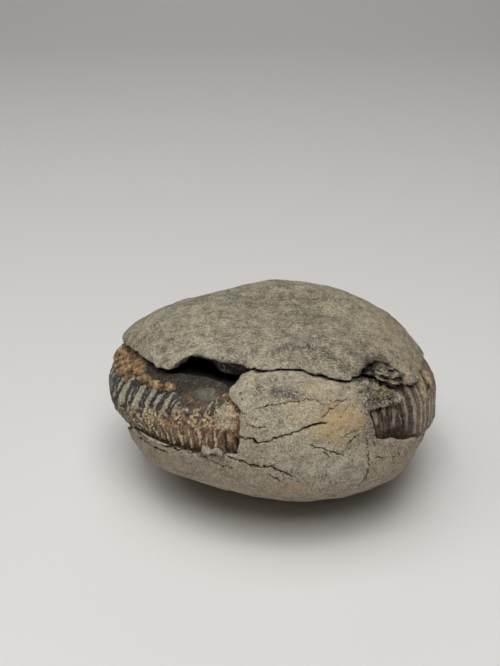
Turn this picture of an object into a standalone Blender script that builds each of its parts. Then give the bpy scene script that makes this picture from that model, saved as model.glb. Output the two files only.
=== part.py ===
"""Fossil ammonite in a split stone nodule.

Three pieces: the base stone with its front block and pocket, the coiled ribbed shell that lies in the
pocket, and the cap stone that closes over it. They are modelled about the shell's coiling plane (z = 0,
front towards -Y) and then laid down on the worn flat under the base.
"""
import math

import bmesh
import bpy
from mathutils import Matrix, Vector, noise

MM = 0.001

# How the nodule lies: front edge of the shell raised, right side a little lower.
TILT_FRONT_UP = 10.0
ROLL_RIGHT_DOWN = 1.8
REST_HEIGHT = 26.6 * MM             # middle of the nodule above the surface it rests on

# The nodule's skin: a rounded oval, half sizes from its middle.
HALF_WIDTH = 44.0 * MM
HALF_DEPTH_FRONT = 45.5 * MM
HALF_DEPTH_BACK = 43.0 * MM
TOP_HEIGHT = 25.5 * MM
UNDER_DEPTH = 27.5 * MM
PLAN_POWER = 2.12
SIDE_POWER = 2.37
# Broad swells and hollows of the skin: azimuth, elevation, spread in degrees, height.
SWELLS = (
    (178, 33, 28, 2.4 * MM),        # left shoulder of the cap
    (95, 62, 26, 2.8 * MM),         # hump behind the middle of the cap
    (42, 50, 28, 3.2 * MM),         # right part of the cap
    (5, 32, 26, 1.5 * MM),          # right shoulder of the cap
    (202, -26, 26, -1.3 * MM),      # under the left whorl
    (235, -36, 26, -3.9 * MM),      # scooped lower left of the front
    (270, -36, 28, -1.7 * MM),      # lower front
    (305, -36, 26, -0.7 * MM),      # lower right of the front
    (338, -30, 26, 0.6 * MM),       # lower right side
    (90, -50, 35, -2.0 * MM),       # lifted lower back
    (160, -2, 16, 2.2 * MM),        # left of the back, over the end of the shell
    (45, 0, 20, 2.2 * MM),          # right of the back, where the shell dives under the stone
    (315, -6, 14, 1.3 * MM),        # ledge below the right window
)
LUMP_SIZE = 14 * MM
LUMP_HEIGHT = 0.5 * MM
GRAIN_SIZE = 5 * MM
GRAIN_HEIGHT = 0.25 * MM
SKIN_DETAIL = 5                     # icosphere subdivisions
SKIN_KEEP = 0.445                   # share of the skin's triangles kept
SKIN_ROUNDS = 12                    # steps that settle a point of the skin at a given height

# The coiled shell: a spiral whose radius grows by WHORL_GROWTH in a turn.
COIL_AXIS = Vector((4.5 * MM, 2.7 * MM, 1.6 * MM))
APERTURE_AZIMUTH = -189.0
APERTURE_RADIUS = 51.3 * MM
WHORL_GROWTH = 1.5
SECTION_REACH = 0.244               # half height of a whorl, as a share of the spiral's radius
SECTION_WIDTH = 0.272               # half thickness
SECTION_POWER = 2.5
SECTION_POINTS = 10
RIBS_PER_TURN = 92
RIB_RELIEF = 0.085                  # groove depth as a share of the whorl's half height
RIB_LEAN = 5.0                      # degrees that a rib swings forward over the flank
OUTER_TURN = 350.0                  # degrees of ribbed outer whorl
PLAIN_SIDE = -0.2                   # inside this share of the half height a whorl has no ribs
PLAIN_ANGLE = 4.0                   # degrees: flatter joints than this are dissolved there
END_SKEW = -6.0                     # degrees that an end face may lean past its own azimuth
INNER_TURNS = (350.0, 250.0)
INNER_STEPS = (42, 25)
INNER_SHRINK = 0.97
TURN_OVERLAP = 12.0                 # degrees that each turn runs into the one before

# The split between cap and base: height of its edge round the nodule, azimuth and millimetres.
SPLIT_EDGE = (
    (-180, 12.6), (-161, 14.4), (-148, 14.8), (-141, 14.2), (-135, 14.6), (-133, 16.8), (-129, 18.6),
    (-125, 19.3), (-116, 18.7), (-109, 18.8), (-102, 17.8), (-96, 17.6), (-85, 18.2), (-79, 17.6),
    (-73, 16.5), (-66, 15.5), (-61, 15.3), (-55, 15.6), (-50, 13.6), (-45, 12.2), (-40, 11.3),
    (-36, 10.2), (-31, 10.8), (-21, 10.7), (-3, 9.6), (25, 10.5), (60, 12.2), (90, 11.4), (125, 12.8),
    (155, 11.6), (180, 12.6),
)
SPLIT_MIDDLE = 4.0 * MM             # the split inside the coil, hidden in the shell
SPLIT_RINGS = (12 * MM, 30.5 * MM, 33.5 * MM, 36.5 * MM, 39.5 * MM, 43 * MM, 56 * MM)
SPLIT_INNER = 31 * MM
SPLIT_OUTER = 36 * MM
SPLIT_STEPS = 96
GAP = 0.3 * MM

# Where the stone has come away from the outer whorl: azimuth range and the ledge left below it.
LEFT_WINDOW = (-191.0, -103.5)
LEFT_LEDGE = ((-191, 0.5), (-175, 0.0), (-156, -2.5), (-142, -3.6), (-130, -3.6), (-115, -3.3),
              (-103.5, -1.6))
LEFT_BREAK = ((-2, 0.0), (3, -0.8), (8.5, 0.0), (9.5, -2.4), (13.0, -5.0), (17.5, 0.0))
RIGHT_WINDOW = (-57.5, 18.0)
RIGHT_LEDGE = ((-57.5, 2.2), (-56, 0.6), (-47, -1.2), (-32, -4.2), (-10, -3.6), (18, 0.5))
RIGHT_BREAK = ((-2, 1.2), (2.4, 0.5), (8.5, -0.6), (16, 0.0))
WINDOW_STEP = 4.5                   # degrees
WINDOW_INNER = 32 * MM
WINDOW_OUTER = 60 * MM
WINDOW_TOP = 40 * MM

# The pocket that the shell lies in: its outer whorl with room round it, and a round middle.
POCKET_CLEARANCE = 0.04             # as a share of a whorl's half height
POCKET_EXTRA = 3.0                  # degrees that the pocket runs on past the aperture
POCKET_STEPS = 48
POCKET_MIDDLE_RADIUS = 35.4 * MM
POCKET_MIDDLE_HALF = 10.2 * MM
POCKET_MIDDLE_SIDES = 32

# Broken edges and growths of the stone. A place is azimuth, distance from the middle and height; sizes
# are half axes outward, along the rim and upwards.
ROUGHNESS = 0.3                     # unevenness of these lumps, as a share of their size
ROUGHNESS_SCALE = 1.7
HOLLOW_PLACE = (-119, 31 * MM, 15.2 * MM)           # open hollow under the cap, left of the block
HOLLOW_SIZES = (11 * MM, 10.5 * MM, 4.2 * MM)
NOTCH_PLACE = (-50, 40 * MM, 15.0 * MM)             # bite out of the cap's edge, right of the block
NOTCH_SIZES = (5.5 * MM, 4.6 * MM, 2.6 * MM)
LUMP_PLACE = (-41, 36.2 * MM, 13.6 * MM)            # layered lump grown onto the cap beside the bite
LUMP_SIZES = (5.0 * MM, 4.4 * MM, 2.4 * MM)
CRUST = (                                           # crust on the base: places and half sizes
    (-56.5, 39.8 * MM, 12.0 * MM, 3.3 * MM),
    (-52.5, 40.4 * MM, 11.4 * MM, 2.9 * MM),
    (-49.0, 40.7 * MM, 10.4 * MM, 2.4 * MM),
    (-55.5, 41.6 * MM, 9.0 * MM, 2.7 * MM),
)

# Open cracks in the base: azimuth, height in millimetres and share of the full width.
CRACK_HALF_WIDTH = 0.55 * MM
CRACKS = {
    "block_crack": ((-103, 3.1, 0.5), (-98, 3.2, 0.8), (-96, 2.2, 1.0), (-91, 3.5, 1.2), (-87, 4.7, 1.3),
                    (-80, 6.5, 1.1), (-73, 7.4, 0.5)),
    "right_crack": ((-59, 2.0, 0.5), (-58, -2.5, 0.8), (-58, -7.0, 0.9), (-59, -12.0, 1.2)),
    "lower_crack": ((-108, -3.8, 0.6), (-103, -3.7, 1.0), (-94, -4.4, 0.9), (-88, -6.3, 1.1),
                    (-83, -7.4, 0.5)),
    "ledge_crack": ((-152, -4.6, 0.8), (-141, -4.8, 1.3), (-135, -5.0, 1.3), (-127, -5.3, 0.7)),
}

REST_BOX = 0.2                      # block that takes the worn flat off the underside
WELD_DISTANCE = 0.01 * MM


def smooth(low, high, value):
    """Ease from 0 at low to 1 at high."""
    share = min(max((value - low) / (high - low), 0.0), 1.0)
    return share * share * (3.0 - 2.0 * share)


def between(points, place):
    """Value at a place along a list of (place, value) points, straight between neighbours."""
    for (before, low), (after, high) in zip(points, points[1:]):
        if place <= after:
            share = (place - before) / (after - before)
            return low + (high - low) * min(max(share, 0.0), 1.0)
    return points[-1][1]


def heading(azimuth, elevation=0.0):
    """Unit vector for an azimuth and elevation in degrees."""
    flat = math.cos(math.radians(elevation))
    return Vector((flat * math.cos(math.radians(azimuth)), flat * math.sin(math.radians(azimuth)),
                   math.sin(math.radians(elevation))))


def point_at(azimuth, reach, height):
    """Point at an azimuth in degrees, a distance from the middle's upright and a height."""
    return heading(azimuth) * reach + Vector((0, 0, height))


def skin_radius(direction):
    """Distance from the nodule's middle to its skin along a unit vector."""
    depth = HALF_DEPTH_FRONT if direction.y < 0 else HALF_DEPTH_BACK
    height = TOP_HEIGHT if direction.z > 0 else UNDER_DEPTH
    plan = abs(direction.x / HALF_WIDTH) ** PLAN_POWER + abs(direction.y / depth) ** PLAN_POWER
    side = abs(direction.z / height) ** SIDE_POWER
    radius = (plan ** (SIDE_POWER / PLAN_POWER) + side) ** (-1.0 / SIDE_POWER)
    for azimuth, elevation, spread, swell in SWELLS:
        away = math.degrees(direction.angle(heading(azimuth, elevation)))
        radius += swell * math.exp(-(away / spread) ** 2)
    place = direction * radius
    radius += LUMP_HEIGHT * noise.noise(place / LUMP_SIZE)
    return radius + GRAIN_HEIGHT * noise.noise(place / GRAIN_SIZE)


def skin_point(azimuth, height):
    """Point of the skin at an azimuth in degrees and a height."""
    reach = HALF_WIDTH
    for _ in range(SKIN_ROUNDS):
        direction = point_at(azimuth, reach, height).normalized()
        reach = math.sqrt(max(skin_radius(direction) ** 2 - height ** 2, 0.0))
    return point_at(azimuth, reach, height)


def split_height(azimuth, reach):
    """Height of the split between cap and base at an azimuth and distance from the middle."""
    edge = between(SPLIT_EDGE, azimuth) * MM
    return SPLIT_MIDDLE + (edge - SPLIT_MIDDLE) * smooth(SPLIT_INNER, SPLIT_OUTER, reach)


def coil_radius(turned):
    """Outer radius of the spiral, in degrees turned back from the aperture."""
    return APERTURE_RADIUS * WHORL_GROWTH ** (-turned / 360.0)


def collection(name):
    made = bpy.data.collections.new(name)
    bpy.context.scene.collection.children.link(made)
    return made


def stone_material(name, colour, roughness):
    made = bpy.data.materials.new(name)
    made.use_nodes = True
    shader = made.node_tree.nodes["Principled BSDF"]
    shader.inputs["Base Color"].default_value = (*colour, 1.0)
    shader.inputs["Roughness"].default_value = roughness
    shader.inputs["Metallic"].default_value = 0.0
    return made


def mesh_object(name, shape, group, parent):
    """Object from a bmesh, its faces turned outwards."""
    bmesh.ops.recalc_face_normals(shape, faces=shape.faces)
    if shape.calc_volume(signed=True) < 0:
        bmesh.ops.reverse_faces(shape, faces=shape.faces)
    mesh = bpy.data.meshes.new(name)
    shape.to_mesh(mesh)
    shape.free()
    made = bpy.data.objects.new(name, mesh)
    made.parent = parent
    group.objects.link(made)
    return made


def as_cutter(made):
    made.hide_render = True
    made.display_type = "WIRE"
    return made


def combine(target, other, operation, solver="EXACT"):
    """Cut or join the target with another object."""
    step = target.modifiers.new(other.name, "BOOLEAN")
    step.operation = operation
    step.solver = solver
    step.object = other


def nodule_blank(name, group, parent):
    """The whole nodule before it splits: a sphere drawn out to the skin."""
    shape = bmesh.new()
    bmesh.ops.create_icosphere(shape, subdivisions=SKIN_DETAIL, radius=1.0)
    for corner in shape.verts:
        direction = corner.co.normalized()
        corner.co = direction * skin_radius(direction)
    made = mesh_object(name, shape, group, parent)
    fewer = made.modifiers.new("even out", "DECIMATE")
    fewer.ratio = SKIN_KEEP
    return made


def split_block(name, group, parent, side):
    """Everything above (side +1) or below (side -1) the split, as a block with one uneven face."""
    shape = bmesh.new()
    spine = [shape.verts.new((reach, 0, 0)) for reach in (0, *SPLIT_RINGS)]
    edges = [shape.edges.new(pair) for pair in zip(spine, spine[1:])]
    bmesh.ops.spin(shape, geom=spine + edges, cent=(0, 0, 0), axis=(0, 0, 1), angle=math.tau,
                   steps=SPLIT_STEPS, use_merge=True)
    bmesh.ops.remove_doubles(shape, verts=shape.verts, dist=WELD_DISTANCE)
    for corner in shape.verts:
        azimuth = math.degrees(math.atan2(corner.co.y, corner.co.x))
        corner.co.z = split_height(azimuth, corner.co.xy.length) - side * GAP / 2
    pushed = bmesh.ops.extrude_face_region(shape, geom=shape.faces[:])
    for item in pushed["geom"]:
        if isinstance(item, bmesh.types.BMVert):
            item.co.z = side * WINDOW_TOP
    return as_cutter(mesh_object(name, shape, group, parent))


def window_cutter(name, group, parent, window, ledge, edge, broken):
    """Ring sector that takes the stone off the outer whorl, down to a ledge.

    The edge at azimuth broken, beside the block, follows a break line of height and shift in degrees.
    """
    first, last = window
    steps = round((last - first) / WINDOW_STEP)
    levels = [height * MM for height, _ in edge] + [WINDOW_TOP]
    shape = bmesh.new()
    corners = [(WINDOW_INNER, level) for level in levels]
    corners += [(WINDOW_OUTER, level) for level in reversed(levels)]
    face = shape.faces.new([shape.verts.new(point_at(first, reach, level)) for reach, level in corners])
    bmesh.ops.spin(shape, geom=[face, *face.edges, *face.verts], cent=(0, 0, 0), axis=(0, 0, 1),
                   angle=math.radians(last - first), steps=steps)
    for corner in shape.verts:
        azimuth = math.degrees(math.atan2(corner.co.y, corner.co.x))
        azimuth -= 360 if azimuth > last + WINDOW_STEP / 2 else 0
        level = corner.co.z
        if level < levels[0] + WELD_DISTANCE:
            corner.co.z = between(ledge, azimuth) * MM
        if abs(azimuth - broken) < WINDOW_STEP / 2 and level < WINDOW_TOP / 2:
            shift = between(edge, level / MM)
            corner.co.xy = (heading(azimuth + shift) * corner.co.xy.length).xy
    return as_cutter(mesh_object(name, shape, group, parent))


def section_outline(name, group):
    """Section of a whorl: a squarish oval for a spiral of radius one."""
    outline = bpy.data.curves.new(name, "CURVE")
    outline.dimensions = "2D"
    spline = outline.splines.new("POLY")
    spline.points.add(SECTION_POINTS - 1)
    spline.use_cyclic_u = True
    for number, point in enumerate(spline.points):
        turn = math.tau * number / SECTION_POINTS
        across, up = math.cos(turn), math.sin(turn)
        size = (abs(across) ** SECTION_POWER + abs(up) ** SECTION_POWER) ** (-1 / SECTION_POWER)
        point.co = (SECTION_REACH * across * size, SECTION_WIDTH * up * size, 0, 1)
    made = bpy.data.objects.new(name, outline)
    group.objects.link(made)
    return as_cutter(made)


def solid_tube(path):
    """Bmesh of a bevelled curve with its end caps welded on; the curve is used up."""
    tube = bpy.data.objects.new(path.name, path)
    bpy.context.scene.collection.objects.link(tube)
    bpy.context.view_layer.update()
    mesh = bpy.data.meshes.new_from_object(tube.evaluated_get(bpy.context.evaluated_depsgraph_get()))
    shape = bmesh.new()
    shape.from_mesh(mesh)
    bmesh.ops.remove_doubles(shape, verts=shape.verts, dist=WELD_DISTANCE)
    bpy.data.objects.remove(tube)
    bpy.data.meshes.remove(mesh)
    return shape


def whorl(name, group, parent, section, start, length, steps, swell):
    """A stretch of the coil as a solid tube; swell(step) scales the section along it."""
    path = bpy.data.curves.new(name, "CURVE")
    path.dimensions = "3D"
    path.twist_mode = "Z_UP"
    path.bevel_mode = "OBJECT"
    path.bevel_object = section
    path.use_fill_caps = True
    spline = path.splines.new("POLY")
    spline.points.add(steps)
    for number, point in enumerate(spline.points):
        turned = start + length * number / steps
        radius = coil_radius(turned)
        place = heading(APERTURE_AZIMUTH + turned) * radius * (1.0 - SECTION_REACH)
        point.co = (*(place + COIL_AXIS), 1.0)
        point.radius = radius * swell(number)
    return mesh_object(name, solid_tube(path), group, parent)


def finish_ribs(shell):
    """Swing the ribs back over the flanks, and leave the inner side of the whorl plain."""
    shape = bmesh.new()
    shape.from_mesh(shell.data)
    plain = set()
    for corner in shape.verts:
        place = corner.co - COIL_AXIS
        azimuth = math.degrees(math.atan2(place.y, place.x))
        radius = coil_radius((azimuth - APERTURE_AZIMUTH - END_SKEW) % 360.0 + END_SKEW)
        reach = place.xy.length
        across = (reach / radius - 1.0 + SECTION_REACH) / SECTION_REACH
        up = place.z / radius / SECTION_WIDTH
        if across < PLAIN_SIDE:
            plain.add(corner)
            full = (abs(across) ** SECTION_POWER + abs(up) ** SECTION_POWER) ** (-1 / SECTION_POWER)
            new_reach = radius * (1.0 - SECTION_REACH + SECTION_REACH * across * full)
            place = Vector((place.x * new_reach / reach, place.y * new_reach / reach, place.z * full))
        swing = Matrix.Rotation(math.radians(RIB_LEAN * min(abs(up), 1.0) ** 2), 3, "Z")
        corner.co = COIL_AXIS + swing @ place
    shape.normal_update()
    faces = [face for face in shape.faces if len(face.verts) < 5 and plain.issuperset(face.verts)]
    edges = {edge for face in faces for edge in face.edges}
    bmesh.ops.dissolve_limit(shape, angle_limit=math.radians(PLAIN_ANGLE), verts=list(plain),
                             edges=list(edges), use_dissolve_boundaries=False)
    shape.to_mesh(shell.data)
    shape.free()


def rough_lump(name, group, parent, place, sizes):
    """Uneven egg shape at a place of the rim: sizes are its half axes outward, along and up."""
    shape = bmesh.new()
    bmesh.ops.create_icosphere(shape, subdivisions=2, radius=1.0)
    middle = point_at(*place)
    turn = Matrix.Rotation(math.radians(place[0]), 3, "Z")
    for corner in shape.verts:
        bump = 1.0 + ROUGHNESS * noise.noise(corner.co * ROUGHNESS_SCALE + middle / GRAIN_SIZE)
        corner.co = middle + turn @ Vector([size * share * bump for size, share in zip(sizes, corner.co)])
    return as_cutter(mesh_object(name, shape, group, parent))


def crack_cutter(name, group, parent, route):
    """Thin square tube along the skin, through points of azimuth and height; it leaves an open crack."""
    path = bpy.data.curves.new(name, "CURVE")
    path.dimensions = "3D"
    path.bevel_depth = CRACK_HALF_WIDTH
    path.bevel_resolution = 0
    path.use_fill_caps = True
    spline = path.splines.new("POLY")
    spline.points.add(len(route) - 1)
    for point, (azimuth, height, width) in zip(spline.points, route):
        point.co = (*skin_point(azimuth, height * MM), 1.0)
        point.radius = width
    return as_cutter(mesh_object(name, solid_tube(path), group, parent))


for leftover in list(bpy.data.objects):
    bpy.data.objects.remove(leftover)

pieces = collection("fossil_ammonite")
cutters = collection("cutters")

lie = bpy.data.objects.new("lie", None)
lie.rotation_mode = "XYZ"
lie.rotation_euler = (math.radians(-TILT_FRONT_UP), math.radians(ROLL_RIGHT_DOWN), 0)
lie.location = (0, 0, REST_HEIGHT)
pieces.objects.link(lie)

# Shell: the ribbed outer whorl, with the plain inner whorls grown into it.
section = section_outline("whorl_section", cutters)
rib_steps = 2 * round(RIBS_PER_TURN * OUTER_TURN / 360.0)
ammonite = whorl("ammonite", pieces, lie, section, 0.0, OUTER_TURN, rib_steps,
                 lambda number: 1.0 - RIB_RELIEF * (number % 2))
finish_ribs(ammonite)
start = OUTER_TURN - TURN_OVERLAP
for number, (length, steps) in enumerate(zip(INNER_TURNS, INNER_STEPS)):
    shrink = INNER_SHRINK ** (number + 1)
    inner = whorl(f"inner_whorl_{number + 1}", cutters, lie, section, start, length, steps,
                  lambda _, size=shrink: size)
    combine(ammonite, as_cutter(inner), "UNION", "MANIFOLD")
    start += length - TURN_OVERLAP

# Pocket that the shell lies in.
pocket = as_cutter(whorl("pocket", cutters, lie, section, -POCKET_EXTRA, OUTER_TURN + POCKET_EXTRA,
                         POCKET_STEPS, lambda _: 1.0 + POCKET_CLEARANCE))
shape = bmesh.new()
bmesh.ops.create_cone(shape, cap_ends=True, segments=POCKET_MIDDLE_SIDES, radius1=POCKET_MIDDLE_RADIUS,
                      radius2=POCKET_MIDDLE_RADIUS, depth=2 * POCKET_MIDDLE_HALF,
                      matrix=Matrix.Translation(COIL_AXIS))
pocket_middle = as_cutter(mesh_object("pocket_middle", shape, cutters, lie))

above = split_block("above_split", cutters, lie, 1)
below = split_block("below_split", cutters, lie, -1)

# Base stone.
base = nodule_blank("base_stone", pieces, lie)
combine(base, above, "DIFFERENCE")
combine(base, window_cutter("left_window", cutters, lie, LEFT_WINDOW, LEFT_LEDGE, LEFT_BREAK,
                            LEFT_WINDOW[1]), "DIFFERENCE")
combine(base, window_cutter("right_window", cutters, lie, RIGHT_WINDOW, RIGHT_LEDGE, RIGHT_BREAK,
                            RIGHT_WINDOW[0]), "DIFFERENCE")
for number, (*place, size) in enumerate(CRUST):
    combine(base, rough_lump(f"crust_{number + 1}", cutters, lie, place, (size, size, size)), "UNION")
combine(base, pocket, "DIFFERENCE")
combine(base, pocket_middle, "DIFFERENCE")
for name, route in CRACKS.items():
    combine(base, crack_cutter(name, cutters, lie, route), "DIFFERENCE")
shape = bmesh.new()
bmesh.ops.create_cube(shape, size=REST_BOX, matrix=Matrix.Translation((0, 0, -REST_BOX / 2)))
combine(base, as_cutter(mesh_object("rest_plane", shape, cutters, None)), "DIFFERENCE")

# Cap stone.
cap = nodule_blank("cap_stone", pieces, lie)
combine(cap, below, "DIFFERENCE")
combine(cap, rough_lump("hollow", cutters, lie, HOLLOW_PLACE, HOLLOW_SIZES), "DIFFERENCE")
combine(cap, rough_lump("notch", cutters, lie, NOTCH_PLACE, NOTCH_SIZES), "DIFFERENCE")
combine(cap, rough_lump("layered_lump", cutters, lie, LUMP_PLACE, LUMP_SIZES), "UNION")
combine(cap, pocket, "DIFFERENCE")
combine(cap, pocket_middle, "DIFFERENCE")

base.data.materials.append(stone_material("base stone", (0.30, 0.28, 0.23), 0.9))
cap.data.materials.append(stone_material("cap stone", (0.32, 0.30, 0.26), 0.9))
ammonite.data.materials.append(stone_material("fossil shell", (0.24, 0.18, 0.12), 0.7))
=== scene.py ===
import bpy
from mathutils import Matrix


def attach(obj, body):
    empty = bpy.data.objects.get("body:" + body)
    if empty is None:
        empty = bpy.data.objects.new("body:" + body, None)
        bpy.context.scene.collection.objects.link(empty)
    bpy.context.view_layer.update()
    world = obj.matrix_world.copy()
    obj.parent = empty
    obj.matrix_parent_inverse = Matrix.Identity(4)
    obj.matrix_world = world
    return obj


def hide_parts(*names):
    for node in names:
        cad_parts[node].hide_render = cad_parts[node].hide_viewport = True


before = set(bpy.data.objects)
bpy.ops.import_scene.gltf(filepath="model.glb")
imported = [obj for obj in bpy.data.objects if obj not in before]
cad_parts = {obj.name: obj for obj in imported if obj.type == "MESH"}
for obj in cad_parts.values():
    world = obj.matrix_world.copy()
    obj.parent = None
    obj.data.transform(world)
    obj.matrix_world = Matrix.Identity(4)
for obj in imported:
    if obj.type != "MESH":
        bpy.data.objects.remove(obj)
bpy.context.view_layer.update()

import math

import bmesh
import bpy
import numpy as np
from mathutils import Matrix, Vector

# ---------------------------------------------------------------------------------------------------
# Viewpoint. The nodule lies in front of the viewer on a pale cloth-covered table and is seen from a
# little above, its split front turned to the viewer and its long side across.
# ---------------------------------------------------------------------------------------------------
MM = 0.001
IMAGE_SIZE = (500, 666)                 # pixels
FOCAL_PIXELS = 1120.0
SENSOR_SIDE = 36.0
NEAREST_SEEN = 10 * MM
LOOK_DOWN = 27.0                        # degrees
VIEW_DISTANCE = 320 * MM
MIDDLE_HEIGHT = 26.6 * MM               # middle of the nodule above the table
MIDDLE_PIXEL = (272.7, 390.0)           # where that middle falls in the image

view_right = Vector((1, 0, 0))
view_forward = Vector((0, math.cos(math.radians(LOOK_DOWN)), -math.sin(math.radians(LOOK_DOWN))))
view_down = Vector((0, -math.sin(math.radians(LOOK_DOWN)), -math.cos(math.radians(LOOK_DOWN))))
across = (MIDDLE_PIXEL[0] - IMAGE_SIZE[0] / 2) / FOCAL_PIXELS
down = (MIDDLE_PIXEL[1] - IMAGE_SIZE[1] / 2) / FOCAL_PIXELS
sight = (view_forward + view_right * across + view_down * down).normalized()

lens = bpy.data.cameras.new("camera")
lens.sensor_fit = "VERTICAL"
lens.sensor_width = SENSOR_SIDE
lens.sensor_height = SENSOR_SIDE
lens.lens = FOCAL_PIXELS / IMAGE_SIZE[1] * SENSOR_SIDE
lens.clip_start = NEAREST_SEEN
camera = bpy.data.objects.new("camera", lens)
turn = Matrix((view_right, -view_down, -view_forward)).transposed().to_4x4()
camera.matrix_world = Matrix.Translation(Vector((0, 0, MIDDLE_HEIGHT)) - sight * VIEW_DISTANCE) @ turn
bpy.context.scene.collection.objects.link(camera)
bpy.context.scene.camera = camera
bpy.context.scene.view_settings.view_transform = "Standard"

# ---------------------------------------------------------------------------------------------------
# Table top and light. A plain pale surface that turns up softly behind, under broad daylight from
# above and a little in front, with weaker light from the left, from low in front and from behind.
# ---------------------------------------------------------------------------------------------------
TABLE_HALF = 1.5                        # metres from the nodule to either side
TABLE_FRONT = 5.0
SWEEP_START = 0.55                      # metres behind the nodule where the surface turns up
SWEEP_RADIUS = 0.5
SWEEP_STEPS = 24
WALL_HEIGHT = 1.0                       # metres that it goes on up above the turn
CLOTH_COLOUR = (0.76, 0.752, 0.742, 1)
CLOTH_ROUGHNESS = 0.9
DULL_GLOSS = 0.25                       # specular level of cloth, stone and fossil alike
ROOM_COLOUR = (1.0, 0.985, 0.96, 1)
ROOM_LIGHT = 0.008
LAMP_COLOUR = (1.0, 0.99, 0.975)
LAMPS = (                               # name, place and side in metres, power in watts
    ("ceiling_light", (0, -0.05, 0.80), 0.6, 1.45),
    ("window_light", (0, -0.38, 0.74), 0.5, 4.05),
    ("left_light", (-0.40, -0.10, 0.70), 0.5, 1.3),
    ("front_light", (0.1, -0.68, 0.58), 0.5, 0.4),
    ("back_light", (0, 0.88, 0.62), 0.4, 0.4),
)


def material(name, colour, roughness):
    """Dull material and its shader."""
    made = bpy.data.materials.new(name)
    made.use_nodes = True
    shader = made.node_tree.nodes["Principled BSDF"]
    shader.inputs["Base Color"].default_value = colour
    shader.inputs["Roughness"].default_value = roughness
    shader.inputs["Specular IOR Level"].default_value = DULL_GLOSS
    return made, shader


profile = [(-TABLE_FRONT, 0.0), (SWEEP_START, 0.0)]
for step in range(1, SWEEP_STEPS + 1):
    angle = math.pi / 2 * step / SWEEP_STEPS
    profile.append((SWEEP_START + SWEEP_RADIUS * math.sin(angle), SWEEP_RADIUS * (1 - math.cos(angle))))
profile.append((SWEEP_START + SWEEP_RADIUS, SWEEP_RADIUS + WALL_HEIGHT))
corners = [(side * TABLE_HALF, y, z) for y, z in profile for side in (-1, 1)]
faces = [(n, n + 1, n + 3, n + 2) for n in range(0, 2 * len(profile) - 2, 2)]
sweep = bpy.data.meshes.new("table_top")
sweep.from_pydata(corners, [], faces)
sweep.shade_smooth()
floor = bpy.data.objects.new("table_top", sweep)
bpy.context.scene.collection.objects.link(floor)
cloth, _ = material("pale cloth", CLOTH_COLOUR, CLOTH_ROUGHNESS)
sweep.materials.append(cloth)

world = bpy.data.worlds.new("room")
world.use_nodes = True
world.node_tree.nodes["Background"].inputs["Color"].default_value = ROOM_COLOUR
world.node_tree.nodes["Background"].inputs["Strength"].default_value = ROOM_LIGHT
bpy.context.scene.world = world

for name, place, size, power in LAMPS:
    lamp = bpy.data.lights.new(name, "AREA")
    lamp.size = size
    lamp.energy = power
    lamp.color = LAMP_COLOUR
    light = bpy.data.objects.new(name, lamp)
    light.location = place
    light.rotation_euler = (Vector((0, 0, 0)) - Vector(place)).to_track_quat("-Z", "Y").to_euler()
    bpy.context.scene.collection.objects.link(light)

# ---------------------------------------------------------------------------------------------------
# Base stone. The lower half of a hard mudstone nodule that split along a bedding plane: a smooth worn
# skin outside, an upright block left standing at the front, a pocket pressed by the shell, and broken
# windows at both sides of the block where the stone has come away. It lies on a worn flat.
# All its forms are in millimetres about the shell's coiling plane, front towards -Y.
# ---------------------------------------------------------------------------------------------------
TILT_FRONT_UP = 10.0                    # degrees that the coiling plane lies off level
ROLL_RIGHT_DOWN = 1.8
HALF_WIDTH = 44.0                       # the nodule before its swells
HALF_DEPTH_FRONT = 45.5
HALF_DEPTH_BACK = 43.0
TOP_HEIGHT = 25.5
UNDER_DEPTH = 27.5
PLAN_POWER = 2.12                       # 2 for an ellipse, more for a squarer outline
SIDE_POWER = 2.37
SWELLS = (                              # azimuth, elevation, spread in degrees, height
    (178, 33, 28, 2.4), (95, 62, 26, 2.4), (42, 50, 28, 3.2), (5, 32, 26, 1.5), (202, -26, 26, -1.3),
    (235, -36, 26, -3.9), (270, -36, 28, -1.7), (305, -36, 26, -0.7), (338, -30, 26, 0.6),
    (90, -50, 35, -2.0), (160, -2, 16, 2.2), (45, 0, 20, 2.2), (315, -6, 14, 1.3), (112, 60, 12, 0.7),
    (173, 22, 9, 1.2), (217, -18, 8, 1.3), (208, -5, 6, -0.5), (196, -6, 9, -1.4),
)
SPLIT_EDGE = (                          # height of the split's rim round the nodule: azimuth, height
    (-180, 12.6), (-161, 14.4), (-148, 14.8), (-141, 14.2), (-135, 14.6), (-133, 16.8), (-129, 18.6),
    (-125, 19.3), (-116, 18.7), (-109, 18.8), (-102, 17.8), (-96, 17.6), (-85, 18.2), (-79, 17.6),
    (-73, 16.5), (-66, 15.5), (-61, 15.3), (-55, 15.6), (-50, 13.6), (-45, 12.2), (-42, 12.0),
    (-39.5, 11.2), (-35, 10.3), (-31, 10.6), (-24, 11.2), (-20, 11.6), (-10, 10.2), (-3, 9.6), (25, 10.5),
    (60, 12.2), (90, 11.4), (125, 12.8), (155, 11.6), (180, 12.6),
)
SPLIT_MIDDLE = 4.0                      # height of the split within SPLIT_INNER of the middle
SPLIT_INNER = 30.0
SPLIT_DROP = 4.5                        # distance over which it comes up from there to the rim's height
SPLIT_GAP = 0.4
COIL_AXIS = np.array((4.5, 2.7, 1.6))
APERTURE_AZIMUTH = -189.0
APERTURE_RADIUS = 51.3
WHORL_GROWTH = 1.5                      # how many times wider the coil grows in a turn
SECTION_REACH = 0.244                   # half sizes of a whorl's section, as shares of the coil's radius
SECTION_WIDTH = 0.272
SECTION_POWER = 2.5
OUTER_TURN = 350.0                      # degrees
POCKET_CLEARANCE = 0.04
POCKET_EXTRA = 3.0
POCKET_MIDDLE_RADIUS = 35.4
POCKET_MIDDLE_HALF = 10.2
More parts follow.
